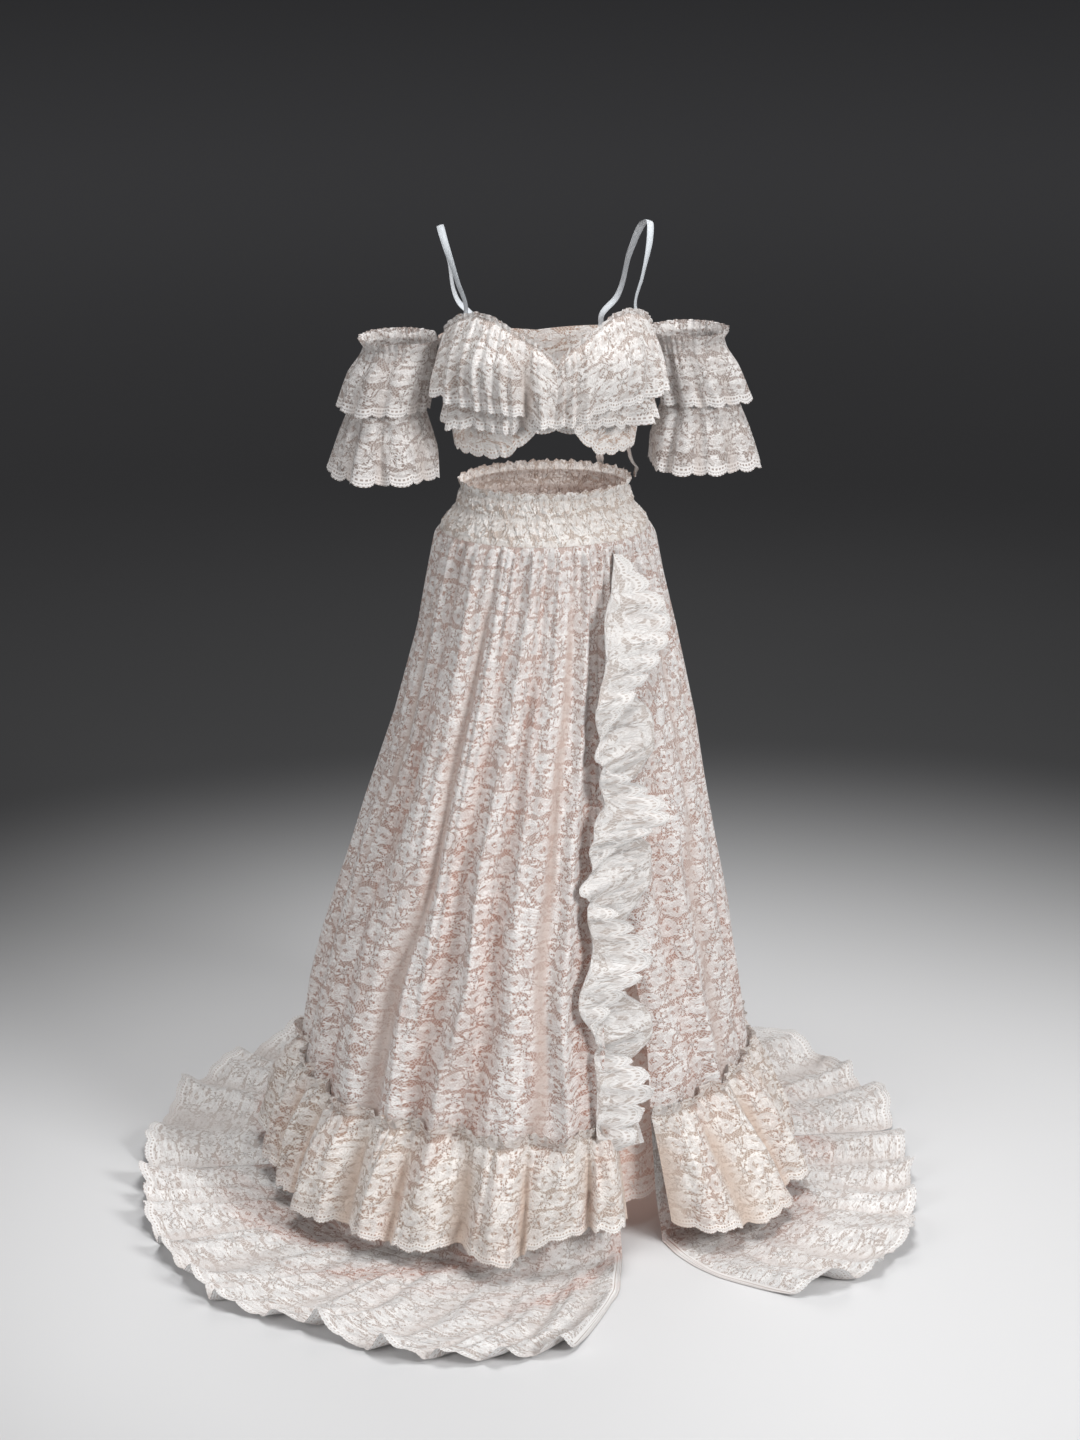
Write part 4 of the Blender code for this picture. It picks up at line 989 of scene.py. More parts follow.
@dataclass(frozen=True)
class Top:
    """The off-shoulder crop top: bodice, bust ruffles, sleeves, straps and tie tails.

    Attributes:
        cup_angle: The angle of a cup's middle, in degrees.
        cup_spread: How far a cup spreads round the body, in degrees.
        cup_height: The height of its middle.
        cup_rise: How far it spreads in height.
        cup_depth: How far it stands out.
        hem_height: The height of the bodice's hem at its sides.
        notch: How far the hem arches up in the middle.
        notch_spread: How far the arch spreads, in degrees.
        bodice_out: How far the bodice stands out from the body's sections.
        bodice_rows: The grid rows of the bodice.
        bodice_scallop: The length of a scallop of its hem.
        ruffle_end: The angle where the bust ruffles end.
        ruffle_pitch: A third of the angle of a wave of the bust ruffles.
        tier_rows: The grid rows of a bust ruffle below its seam.
        tier_gathers: How far its small gathers stand out.
        lower_tier_start: Where the lower tier's seam lies between the bodice's top edge and its hem.
        lower_tier_gap: The angle where the lower tiers end, to each side of the centre.
        lower_tier_hem: The height of their hem.
        sleeve_radius: The radius of a sleeve's seam ring.
        sleeve_waves: The waves round a sleeve.
        sleeve_seam: The height of the upper tier's elastic.
        sleeve_rows: The grid rows of a sleeve tier.
        sleeve_depth_ratio: A sleeve's depth as a share of its width.
        sleeve_columns: The grid columns of a sleeve tier.
        sleeve_gathers: How far the small gathers below its seam stand out.
        sleeve_frill: How far the heading's frills do.
        sleeve_ripple: How far its fine ripples do.
        sleeve_lean: How far a wave leans over the valley beside it, in radians.
        strap_width: The width of a strap.
        strap_thickness: The thickness of its solid.
        strap_ends: The angles where it is sewn in.
        strap_lap: How far it runs down inside the bodice.
        tail_width: Half the width of a tie tail.
        tail_top: The height where it starts.
        tail_leaves: The height where it leaves the bodice.
        tail_arrives: The height where it reaches the yoke.
        tail_out: How far out from the body it hangs.
        scallop_period: The length of a scallop of the ruffles and sleeves.
        scallop_depth: The depth of one.
    """

    cup_angle: float = 36.0
    cup_spread: float = 22.0
    cup_height: float = 1.262
    cup_rise: float = 0.045
    cup_depth: float = 0.012
    hem_height: float = 1.120
    notch: float = 0.044
    notch_spread: float = 28.0
    bodice_out: float = 0.0004
    bodice_rows: int = 44
    bodice_scallop: float = 0.026
    ruffle_end: float = 74.95
    ruffle_pitch: float = 3.7475
    tier_rows: int = 46
    tier_gathers: float = 0.0042
    lower_tier_start: float = 0.3
    lower_tier_gap: float = 11.2
    lower_tier_hem: float = 1.168
    sleeve_radius: float = 0.0520
    sleeve_waves: int = 8
    sleeve_seam: float = 1.268
    sleeve_rows: int = 56
    sleeve_depth_ratio: float = 0.94
    sleeve_columns: int = 440
    sleeve_gathers: float = 0.0030
    sleeve_frill: float = 0.0062
    sleeve_ripple: float = 0.0014
    sleeve_lean: float = 0.075
    strap_width: float = 0.010
    strap_thickness: float = 0.0016
    strap_ends: tuple[float, float] = (59.0, 131.0)
    strap_lap: float = 0.012
    tail_width: float = 0.0072
    tail_top: float = 1.132
    tail_leaves: float = 1.118
    tail_arrives: float = 1.066
    tail_out: float = 0.0028
    scallop_period: float = 0.030
    scallop_depth: float = 0.0055

    def cups(self, angle: np.ndarray, height: np.ndarray) -> np.ndarray:
        """How far the cups stand out: a bell in angle and height round each cup's middle."""
        turned = (np.asarray(angle, float) + 180.0) % 360.0 - 180.0
        near = np.exp(-(((np.abs(turned) - self.cup_angle) / self.cup_spread) ** 2))
        return self.cup_depth * near * np.exp(-(((height - self.cup_height) / self.cup_rise) ** 2))

    def bodice_height(self, angle: np.ndarray, share: np.ndarray) -> np.ndarray:
        """The height at a share of the way from the bodice's top edge to its hem, with the notch in front."""
        turned = (np.asarray(angle, float) + 180.0) % 360.0 - 180.0
        top = by_angle(BODICE_TOP, angle)
        hem = self.hem_height + self.notch * np.exp(-(np.abs(turned / self.notch_spread) ** 3))
        return top + (hem - top) * share

    def bodice_cloth(self, back: bool) -> Cloth:
        """The bodice's front with its cups, or its plain back, on the body's sections, with a scalloped hem."""
        end = SEAM_ANGLE - SEAM_PARTING
        angle = np.linspace(180.0 - end, 180.0 + end, 241) if back else np.linspace(-end, end, 361)
        share = np.linspace(0.0, 1.0, self.bodice_rows)[:, None]
        along = run_length(ring(BODICE_SECTIONS, angle, self.hem_height))
        height = self.bodice_height(angle[None, :], share)
        height = height - scallops(along, self.bodice_scallop, SCALLOP_DEPTH)[None, :] * share**6
        pucker = 0.0009 * wander(angle[None, :] / 3.0 + 40 * height, 2.0) * np.clip(share * 4, 0, 1)
        out = self.cups(angle[None, :], height) + self.bodice_out + pucker
        points = ring(BODICE_SECTIONS, angle[None, :], height, out)
        down = by_angle(BODICE_TOP, angle)[None, :] - height
        along, down = np.broadcast_arrays(along[None, :], down)
        edge = height - height[-1:]
        return Cloth(points, along, down, edge, np.zeros(points.shape[:2]))

    def tier_cloth(
        self,
        angle: np.ndarray,
        top_share: float,
        hem: np.ndarray,
        valley: float,
        rise: float,
        heading: float,
        flare: float,
        pleat_shift: float,
        side_flare: float,
    ) -> Cloth:
        """A tier of the bust ruffle.

        Args:
            angle: Its columns.
            top_share: Where its seam lies between the bodice's top edge and its hem.
            hem: The height of its hem at each column.
            valley: How far its valleys stand out at the hem.
            rise: How much farther its crests do.
            heading: How far its frilled heading rises above the seam.
            flare: The power with which it leaves the body.
            pleat_shift: How far its pleats are set over from the upper tier's, in degrees.
            side_flare: How far it stands out farther in front of the arms, in a bell round 60 degrees.

        Returns:
            The surface: it leaves the seam in small gathers and falls in waves that lean over their valleys.
        """
        place = (angle + self.ruffle_end) / (3.0 * self.ruffle_pitch)
        wave = pleats(BUST_PLEATS, angle + pleat_shift)
        fine = crest(3 * place + 0.2 * wander(place, 2.0), 1.0) * uneven(np.floor(3 * place), 0.35)
        seam_height = self.bodice_height(angle, top_share)
        base_out = LACE + GAP + 0.0012
        middle = ring(BODICE_SECTIONS, angle, hem, base_out + valley + 0.6 * rise)
        along = run_length(middle) * 1.35
        past = scallops(along, self.scallop_period, self.scallop_depth)
        rows, down = [], []
        if heading > 0:
            for share in np.linspace(1.0, 0.0, 6, endpoint=False):
                out = base_out + (0.0008 + self.tier_gathers * fine) * share**0.7
                height = seam_height + heading * share * (0.8 + 0.2 * uneven(np.floor(3 * place), 0.0))
                rows.append(ring(BODICE_SECTIONS, angle, height, out + self.cups(angle, height)))
                down.append(-heading * share * np.ones_like(angle))
        aside = side_flare * np.exp(-(((np.abs(angle) - 60.0) / 9.0) ** 2))
        for share in np.linspace(0.0, 1.0, self.tier_rows):
            height = seam_height + (hem - seam_height) * share - past * share**3
            gathers = self.tier_gathers * fine * np.exp(-share / 0.30) * (1.0 - np.exp(-share / 0.03))
            ripple = 0.0016 * wander(4.0 * place + 3.0 * share, 5.0) * share
            out = base_out + share**flare * (valley + rise * wave + aside) + gathers + ripple
            rows.append(ring(BODICE_SECTIONS, angle, height, out + self.cups(angle, height)))
            down.append((seam_height - hem) * share)
        points = np.array(rows)
        down = np.array(down)
        edge = np.clip((seam_height - hem)[None, :] - down, 0.0, None)
        along = np.broadcast_to(along[None, :], down.shape)
        # Mask of painted shade: the valleys of the pleats, growing over the first 5 cm below the seam.
        depth = np.clip(0.55 - wave / 0.5, 0, 1)[None, :] * np.clip(down / 0.05, 0, 1)
        return Cloth(points, along, down, edge, depth)

    def upper_tier(self) -> Cloth:
        """The upper bust ruffle, from end to end below the neckline."""
        angle = np.linspace(-self.ruffle_end, self.ruffle_end, 601)
        return self.tier_cloth(
            angle,
            top_share=0.0,
            hem=by_angle(BUST_UPPER_HEM, angle),
            valley=0.016,
            rise=0.022,
            heading=0.009,
            flare=1.0,
            pleat_shift=0.0,
            side_flare=0.006,
        )

    def lower_tier(self, side: int) -> Cloth:
        """The lower bust ruffle of one side."""
        angle = np.linspace(-self.ruffle_end, -self.lower_tier_gap, 281)
        if side > 0:
            angle = -angle[::-1]
        return self.tier_cloth(
            angle,
            top_share=self.lower_tier_start,
            hem=self.lower_tier_hem + 0.004 * wander(angle / 14.0, 2.0),
            valley=0.006,
            rise=0.017,
            heading=0.0,
            flare=1.15,
            pleat_shift=3.4,
            side_flare=0.026,
        )

    def sleeve_middle(self) -> float:
        """The distance of a sleeve's seam ring from the axis."""
        side = ring(BODICE_SECTIONS, np.array([SEAM_ANGLE]), self.bodice_height(np.array([SEAM_ANGLE]), 0.0))
        return float(side[0, 0]) + LACE + GAP + self.sleeve_radius + LACE

    def sleeve_cloth(self, table: Sequence[SleeveRow], side: int, inset: float, upper: bool) -> Cloth:
        """One tier of a sleeve as rings, pressed flat where it meets the body.

        Args:
            table: Its rings from top to bottom.
            side: -1 for the wearer's right, 1 for their left.
            inset: How far it lies inside the tier above at the body.
            upper: Whether it has the frilled heading.

        Returns:
            The surface, whose waves lean over their valleys.
        """
        pressed = self.sleeve_middle() - self.sleeve_radius + inset
        turn = 2 * np.pi * np.arange(self.sleeve_columns) / self.sleeve_columns
        place = self.sleeve_waves * turn / (2 * np.pi)
        place = place + 0.22 * np.sin(turn + side) + 0.14 * np.sin(2 * turn + 1.0)
        wave = roll(place, 0.8) * uneven(np.floor(place) % self.sleeve_waves + (2 if side > 0 else 5), 0.3)
        fine = crest(4 * place, 1.0) * uneven(np.floor(4 * place) % (4 * self.sleeve_waves), 0.35)
        heights, middles, radii, waves = zip(*table[::-1])
        hem, top = heights[0], heights[-1]
        girth = run_length(radii[0] * np.stack([np.sin(turn), np.cos(turn)], axis=-1))
        along = np.append(girth, 2 * np.pi * radii[0]) * 1.25
        count = round(along[-1] / self.scallop_period)
        past = scallops(along[:-1], along[-1] / count, self.scallop_depth)
        levels = np.linspace(top, hem, self.sleeve_rows)
        rows = []
        seam = self.sleeve_seam if upper else top
        for level in levels:
            radius = float(smooth_table(level, heights, radii))
            middle = float(smooth_table(level, heights, middles))
            depth = float(np.interp(level, heights, waves))
            share = np.clip((seam - level) / (seam - hem), 0.0, 1.0)
            near_seam = 1.0 - np.exp(-abs(seam - level) / 0.003)
            gathers = self.sleeve_gathers * fine * np.exp(-share / 0.25) * near_seam
            if level > seam:
                gathers = self.sleeve_frill * fine * ((level - seam) / (top - seam)) ** 0.7
                depth = 0.0
            ripple = self.sleeve_ripple * share * np.sin(23 * turn + 40 * level) * np.sin(3 * turn + side)
            lean = -self.sleeve_lean * np.sin(2 * np.pi * place) * wave * share
            reach = radius + depth * wave * 1.25 + gathers + ripple
            x = side * np.maximum(self.sleeve_middle() + middle + reach * np.sin(turn + lean), pressed)
            y = -side * self.sleeve_depth_ratio * reach * np.cos(turn + lean)
            z = np.full_like(x, level - WAIST_HEIGHT) - past * share**4
            rows.append(np.stack([x, y, z], axis=-1))
        points = np.array(rows)
        down = np.broadcast_to((top - levels)[:, None], (len(levels), len(along)))
        edge = np.broadcast_to((levels - hem)[:, None], points.shape[:2])
        along = np.broadcast_to(along[None, :], down.shape)
        shares = np.clip((seam - levels) / (seam - hem), 0.0, 1.0)[:, None]
        # The mask of painted shade lies between the waves and grows towards the hem.
        return Cloth(points, along, down, edge, np.clip(1.0 - wave / 0.4, 0, 1)[None, :] * shares, closed=True)

    def strap_cloth(self, side: int) -> Cloth:
        """A satin strap over the shoulder, lapped inside the bodice's edge at both ends, slightly crowned."""
        ends = []
        lap = -(3 * GAP + self.strap_thickness) + 0.5 * self.strap_thickness
        for angle in self.strap_ends:
            top = float(by_angle(BODICE_TOP, angle))
            heights = np.array([top - self.strap_lap, top, top + self.strap_lap])
            cup = float(self.cups(np.array(angle), np.array(top)))
            ends.append(ring(BODICE_SECTIONS, angle, heights, lap + cup))
        shoulder = np.array(STRAP_ROUTE) - np.array([0.0, 0.0, WAIST_HEIGHT])
        knots = np.concatenate([ends[0], shoulder, ends[1][::-1]])
        run = run_length(knots)
        at = np.linspace(0.0, run[-1], 160)
        path = np.stack([smooth_table(at, run, knots[:, axis]) for axis in range(3)], axis=-1)
        tangent = np.gradient(path, axis=0)
        tangent /= np.linalg.norm(tangent, axis=1, keepdims=True)
        start = ends[0][-1, 2]
        over = np.clip((path[:, 2] - start) / (path[:, 2].max() - start), 0, 1)[:, None]
        face = outward(path) * (1 - over) + np.array([0.3, 0.0, 1.0]) * over
        across = np.cross(tangent, face)
        across *= 0.5 * self.strap_width / np.linalg.norm(across, axis=1, keepdims=True)
        face = np.cross(across, tangent)
        face /= np.linalg.norm(face, axis=1, keepdims=True)
        share = np.linspace(-1.0, 1.0, 13)
        crown = 0.0007 * (1.0 - share**2)
        aside = side * across[:, None] * share[None, :, None]
        points = path[:, None] - aside + face[:, None] * crown[None, :, None]
        points = points * np.array([side, 1.0, 1.0])
        down, along = np.broadcast_arrays(at[:, None], (share * 0.5 * self.strap_width)[None, :])
        gap = np.broadcast_to((1.0 - np.abs(share))[None, :] * 0.5 * self.strap_width, down.shape)
        return Cloth(points, along, down, gap, np.zeros(down.shape))

    def tail_cloth(self, bodice_angle: float, yoke_angle: float, end_height: float, sway: float) -> Cloth:
        """A lace tail of the back tie: it hangs from the bodice's hem past the yoke's frill to a point.

        Args:
            bodice_angle: Where it is sewn on, in degrees.
            yoke_angle: Where it ends, in degrees.
            end_height: The height of its point.
            sway: How far it swings out at its end.

        Returns:
            The surface: a path from the bodice to the yoke, with a width that narrows over its last fifth.
        """
        share = np.linspace(0.0, 1.0, 60)
        height = self.tail_top + (end_height - self.tail_top) * share
        way = np.clip((self.tail_leaves - height) / (self.tail_leaves - self.tail_arrives), 0, 1)
        angle = bodice_angle + (yoke_angle - bodice_angle) * way
        over_frill = 0.0050 * np.exp(-(((height - 1.068) / 0.008) ** 2))
        middle_body = ring(BODICE_SECTIONS, angle, np.maximum(height, 1.112), self.tail_out)
        middle_yoke = ring(SKIRT_SECTIONS, angle, height, self.tail_out + over_frill)
        path = middle_body + (middle_yoke - middle_body) * (way[:, None] ** 1.4)
        path[:, 2] = height - WAIST_HEIGHT
        path += outward(path) * (sway * way**1.5)[:, None]
        out_way = outward(path)
        side_way = np.stack([-out_way[:, 1], out_way[:, 0], np.zeros(len(path))], axis=-1)
        across = np.linspace(-1.0, 1.0, 17)
        half = self.tail_width * np.clip((1.0 - share) / 0.22, 0, 1) ** 0.8 + 0.0003
        half = half * (1.0 + 0.12 * np.sin(2 * np.pi * share * 7.0))
        cup = 0.0016 * np.cos(across * np.pi)
        points = path[:, None] + side_way[:, None] * (half[:, None] * across[None, :])[..., None]
        points = points + out_way[:, None] * cup[None, :, None]
        down = (self.tail_top - height)[:, None]
        down, along = np.broadcast_arrays(down, (across * self.tail_width)[None, :])
        gap = (1.0 - np.abs(across))[None, :] * half[:, None]
        return Cloth(points, along, down, gap, np.zeros(down.shape))


Number = Union["Term", float]


class Term:
    """A value in a node tree that ordinary arithmetic signs combine into Math nodes."""

    def __init__(self, tree: bpy.types.NodeTree, socket: bpy.types.NodeSocket) -> None:
        """Keeps the tree and the socket."""
        self.tree = tree
        self.socket = socket

    def math(self, operation: str, *others: Number) -> "Term":
        """A Math node on this value and the others."""
        node = self.tree.nodes.new("ShaderNodeMath")
        node.operation = operation
        for index, value in enumerate((self, *others)):
            if isinstance(value, Term):
                self.tree.links.new(value.socket, node.inputs[index])
            else:
                node.inputs[index].default_value = float(value)
        return Term(self.tree, node.outputs[0])

    def __add__(self, other: Number) -> "Term":
        """The sum."""
        return self.math("ADD", other)

    def __sub__(self, other: Number) -> "Term":
        """The difference."""
        return self.math("SUBTRACT", other)

    def __rsub__(self, other: float) -> "Term":
        """A number less this value."""
        return self.math("MULTIPLY_ADD", -1.0, other)

    def __mul__(self, other: Number) -> "Term":
        """The product."""
        return self.math("MULTIPLY", other)

    __radd__ = __add__
    __rmul__ = __mul__

    def fract(self) -> "Term":
        """What is left past the whole number below."""
        return self.math("FRACT")

    def floor(self) -> "Term":
        """The whole number below."""
        return self.math("FLOOR")

    def abs(self) -> "Term":
        """The size without its sign."""
        return self.math("ABSOLUTE")

    def sine(self) -> "Term":
        """The sine."""
        return self.math("SINE")

    def cosine(self) -> "Term":
        """The cosine."""
        return self.math("COSINE")

    def least(self, other: Number) -> "Term":
        """The smaller of two values."""
        return self.math("MINIMUM", other)

    def most(self, other: Number) -> "Term":
        """The larger of two values."""
        return self.math("MAXIMUM", other)

    def patches(self, other: "Term", detail: float) -> "Term":
        """A smooth random value from 0 to 1 over the plane of this value and another, one patch per unit."""
        join = self.tree.nodes.new("ShaderNodeCombineXYZ")
        self.tree.links.new(self.socket, join.inputs[0])
        self.tree.links.new(other.socket, join.inputs[1])
        noise = self.tree.nodes.new("ShaderNodeTexNoise")
        noise.noise_dimensions = "2D"
        noise.inputs["Scale"].default_value = 1.0
        noise.inputs["Detail"].default_value = detail
        self.tree.links.new(join.outputs[0], noise.inputs["Vector"])
        return Term(self.tree, noise.outputs["Fac"])

    def rise(self, low: float, high: float) -> "Term":
        """A soft step: 0 at low, 1 at high."""
        node = self.tree.nodes.new("ShaderNodeMapRange")
        node.interpolation_type = "SMOOTHSTEP"
        node.inputs["From Min"].default_value = low
        node.inputs["From Max"].default_value = high
        if low > high:
            node.inputs["From Min"].default_value = high
            node.inputs["From Max"].default_value = low
            node.inputs["To Min"].default_value = 1.0
            node.inputs["To Max"].default_value = 0.0
        self.tree.links.new(self.socket, node.inputs["Value"])
        return Term(self.tree, node.outputs["Result"])


def new_group(
    name: str, inputs: Sequence[tuple[str, str, float]], outputs: Sequence[tuple[str, str]]
) -> bpy.types.NodeTree:
    """An empty shader node group.

    Args:
        name: Its name.
        inputs: Each input's name, socket type and value.
        outputs: Each output's name and socket type.

    Returns:
        The group's tree.
    """
    tree = bpy.data.node_groups.new(name, "ShaderNodeTree")
    for label, kind, value in inputs:
        socket = tree.interface.new_socket(label, in_out="INPUT", socket_type=kind)
        if kind == "NodeSocketFloat":
            socket.default_value = value
    for label, kind in outputs:
        tree.interface.new_socket(label, in_out="OUTPUT", socket_type=kind)
    return tree


@dataclass(frozen=True)
class LaceChart:
    """The lace's repeat, in millimetres: rows of flowers and leaves, and ragged bands of net between them.

    Attributes:
        row_height: The height of a row of flowers.
        flower_pitch: From one flower to the next along a row.
        row_shift: How much of a pitch each row is set over from the one above.
        flower_reach: The reach of a flower's petals.
        leaf_length: Half the length of a leaf.
        leaf_width: Half the width of a leaf.
        net_width: From one hole of the net to the next across the cloth.
        net_height: The same down the cloth.
    """

    row_height: float = 30.0
    flower_pitch: float = 53.0
    row_shift: float = 0.382
    flower_reach: float = 13.5
    leaf_length: float = 13.0
    leaf_width: float = 5.0
    net_width: float = 4.9
    net_height: float = 5.3

    def build(self) -> bpy.types.NodeTree:
        """Builds the group LaceWork.

        Inputs are the cloth coordinates in metres, the distance to the free edge in metres, and how wide the
        bands of net are. Outputs are Hole, 1 in a hole of the net, Motif, 1 on flowers, leaves and cords,
        Line, 1 in the thin lines round them, and Relief, the height of the threads.
        """
        tree = new_group(
            "LaceWork",
            [
                ("Cloth", "NodeSocketVector", 0),
                ("Edge", "NodeSocketFloat", 1.0),
                ("Openness", "NodeSocketFloat", 1.0),
            ],
            [(label, "NodeSocketFloat") for label in ("Hole", "Motif", "Line", "Relief")],
        )
        given = tree.nodes.new("NodeGroupInput")
        result = tree.nodes.new("NodeGroupOutput")
        parts = tree.nodes.new("ShaderNodeSeparateXYZ")
        tree.links.new(given.outputs["Cloth"], parts.inputs[0])
        u_flat = Term(tree, parts.outputs["X"]) * 1000.0
        v_flat = Term(tree, parts.outputs["Y"]) * 1000.0
        edge = Term(tree, given.outputs["Edge"]) * 1000.0
        openness = Term(tree, given.outputs["Openness"])
        sway = (u_flat * (1.0 / 26.0) + 5.0).patches(v_flat * (1.0 / 22.0), 1.0) - 0.5
        swing = (u_flat * (1.0 / 24.0)).patches(v_flat * (1.0 / 20.0) + 3.0, 1.0) - 0.5
        u = u_flat + (v_flat * 0.11).sine() * 1.1 + sway * 13.0
        v = v_flat + (u_flat * 0.071).sine() * 1.6 + (u_flat * 0.173).sine() * 0.7 + swing * 11.0

        # Each row of flowers is set over from the one above, and each flower is turned and sized by its row.
        row_place = v * (1.0 / self.row_height)
        row = row_place.floor()
        kind = (row * GOLDEN_SHARE + 0.2).fract()
        y = (row_place.fract() - 0.5) * self.row_height
        x = ((u * (1.0 / self.flower_pitch) + row * self.row_shift).fract() - 0.5) * self.flower_pitch

        # A flower reaches out by |cos 3a|; a leaf is a bow of 1 - x^2 about its own axis.
        radius = (x * x + y * y).math("SQRT")
        turn = y.math("ARCTAN2", x) + kind * 2.0
        petal = (turn * 3.0).cosine().abs()
        reach = self.flower_reach * (kind * 0.25 + 0.8)
        flower = reach * (petal * 0.58 + 0.42) - radius
        side = x.abs() - 0.5 * self.flower_pitch + 7.0
        rise = y.abs() - 5.5
        cosine, sine = math.cos(0.62), math.sin(0.62)
        leaf_x = side * cosine + rise * sine
        leaf_y = (rise * cosine - side * sine).abs()
        bow = leaf_x * (1.0 / self.leaf_length)
        leaf = (1.0 - bow * bow) * self.leaf_width - leaf_y
        inside = flower.most(leaf)
        motif = inside.rise(-0.4, 0.6)
        line = ((inside + 0.9).abs().rise(1.1, 0.5) * 0.6).most((inside - 2.6).abs().rise(0.9, 0.3) * 0.7)
        petals = petal.rise(0.30, 0.12) * flower.rise(0.0, 0.8) * radius.rise(3.0, 4.0)
        midrib = leaf_y.rise(0.7, 0.3) * leaf.rise(0.3, 1.0)
        line = line.most(petals).most(midrib * 0.8).most((radius - 5.4).abs().rise(0.7, 0.3) * 0.8)
        veins = (leaf_x * 2.0 + leaf_y * 2.6).sine() * leaf.rise(0.2, 1.4)
        rays = (turn * 15.0).cosine() * flower.rise(0.4, 2.0)

        # The net's holes are the squares left between two sets of diagonal threads.
        a = (u * (1.0 / self.net_width) + v * (1.0 / self.net_height)).fract() - 0.5
        b = (u * (1.0 / self.net_width) - v * (1.0 / self.net_height)).fract() - 0.5
        net = a.abs().most(b.abs()).rise(0.42, 0.33)

        # The net shows in ragged bands between the rows, and fine pinholes show everywhere.
        ragged = (u_flat * (1.0 / 19.0)).patches(v_flat * (1.0 / 5.2), 2.6)
        broad = (u_flat * (1.0 / 60.0) + 7.0).patches(v_flat * (1.0 / 45.0), 1.0)
        border = ((row_place * 2.0 + 0.5).fract() - 0.5).abs() * 2.0
        teeth = ((u * (1.0 / 8.4)).fract() - 0.5).abs() * 2.0
        depth = ragged + (broad - 0.5) * 0.35 - border * 0.10 + teeth * 0.07
        depth = depth - 0.484 + (openness - 1.0) * 0.12
        band = depth.rise(-0.012, 0.012)
        gaps = (petal * -1.0 + 1.0).rise(0.42, 0.62) * (radius - 8.5).abs().rise(4.4, 3.2)
        gaps = gaps * ((radius * 0.30 + turn * 0.6).fract() - 0.5).abs().rise(0.36, 0.28)
        eye = (radius - 3.6).abs().rise(1.5, 0.9) * (turn * 6.0).cosine().rise(0.0, 0.5)
        pin = (u * (1.0 / 2.9)).patches(v * (1.0 / 2.5), 1.0).rise(0.575, 0.66) * (0.60 - motif * 0.25)
        hole = pin.most(net.most(0.38) * band * (1.0 - motif * 0.62))
        hole = hole.most(gaps.most(eye) * openness.rise(0.4, 0.8))
        outline = (u_flat * (1.0 / 34.0) + 3.0).patches(v_flat * (1.0 / 24.0) + 9.0, 0.5)
        outline = ((outline * 13.0).fract() - 0.5).abs().rise(0.20, 0.06) * (1.0 - band)

        # Along a free edge run two cords with small holes between them, a row of eyelets and a toothed rim.
        near_edge = edge.rise(14.0, 12.0)
        step = (u_flat * (1.0 / 5.2)).fract() - 0.5
        eyelet = (edge - 9.2).abs().rise(1.6, 1.0) * step.abs().rise(0.34, 0.22)
        picot = edge.rise(1.5, 0.9) * step.abs().rise(0.24, 0.34)
        cord = (edge - 2.0).abs().rise(1.2, 0.5).most((edge - 5.8).abs().rise(1.0, 0.4))
        between = ((u_flat * (1.0 / 3.4)).fract() - 0.5).abs().rise(0.28, 0.18)
        between = (edge - 3.9).abs().rise(0.9, 0.5) * between
        edge_hole = (eyelet * 0.8).most(between * 0.5)
        hole = (hole * (1.0 - near_edge) + edge_hole * near_edge).most(picot)
        line = (line * 0.55).most(outline * 0.22)
        body = motif.most(0.45 * (1.0 - band)) * (1.0 - near_edge) + near_edge * cord.most(0.5)
        fine = (u * 3.1).sine() * (v * 2.7).sine()
        relief = motif * 0.40 + veins * 0.20 + rays * 0.15 - line * 0.7 + fine * 0.12
        relief = (relief + 0.35) * (1.0 - near_edge) + near_edge * (cord * 0.8 + 0.2)
        thread = (1.0 - hole).most(0.0)
        outputs = {"Hole": hole, "Motif": body, "Line": line * (1.0 - near_edge), "Relief": relief * thread}
        for label, value in outputs.items():
            tree.links.new(value.socket, result.inputs[label])
        return tree


def build_wrinkle() -> bpy.types.NodeTree:
    """Builds the group Wrinkle: slow waves of cloth, and patches of drifting tone, over Object coordinates."""
    tree = new_group(
        "Wrinkle",
        [("Place", "NodeSocketVector", 0)],
        [("Relief", "NodeSocketFloat"), ("Tone", "NodeSocketFloat")],
    )
    given = tree.nodes.new("NodeGroupInput")
    result = tree.nodes.new("NodeGroupOutput")
    for label, scale, detail in (("Relief", 55.0, 3.0), ("Tone", 9.0, 2.0)):
        noise = tree.nodes.new("ShaderNodeTexNoise")
        noise.inputs["Scale"].default_value = scale
        noise.inputs["Detail"].default_value = detail
        tree.links.new(given.outputs["Place"], noise.inputs["Vector"])
        tree.links.new(noise.outputs["Fac"], result.inputs[label])
    return tree


Colour = tuple[float, float, float]
Paint = Union[Colour, bpy.types.NodeSocket]
MIX_COLOUR_INPUTS = (6, 7)
MIX_COLOUR_OUTPUT = 2


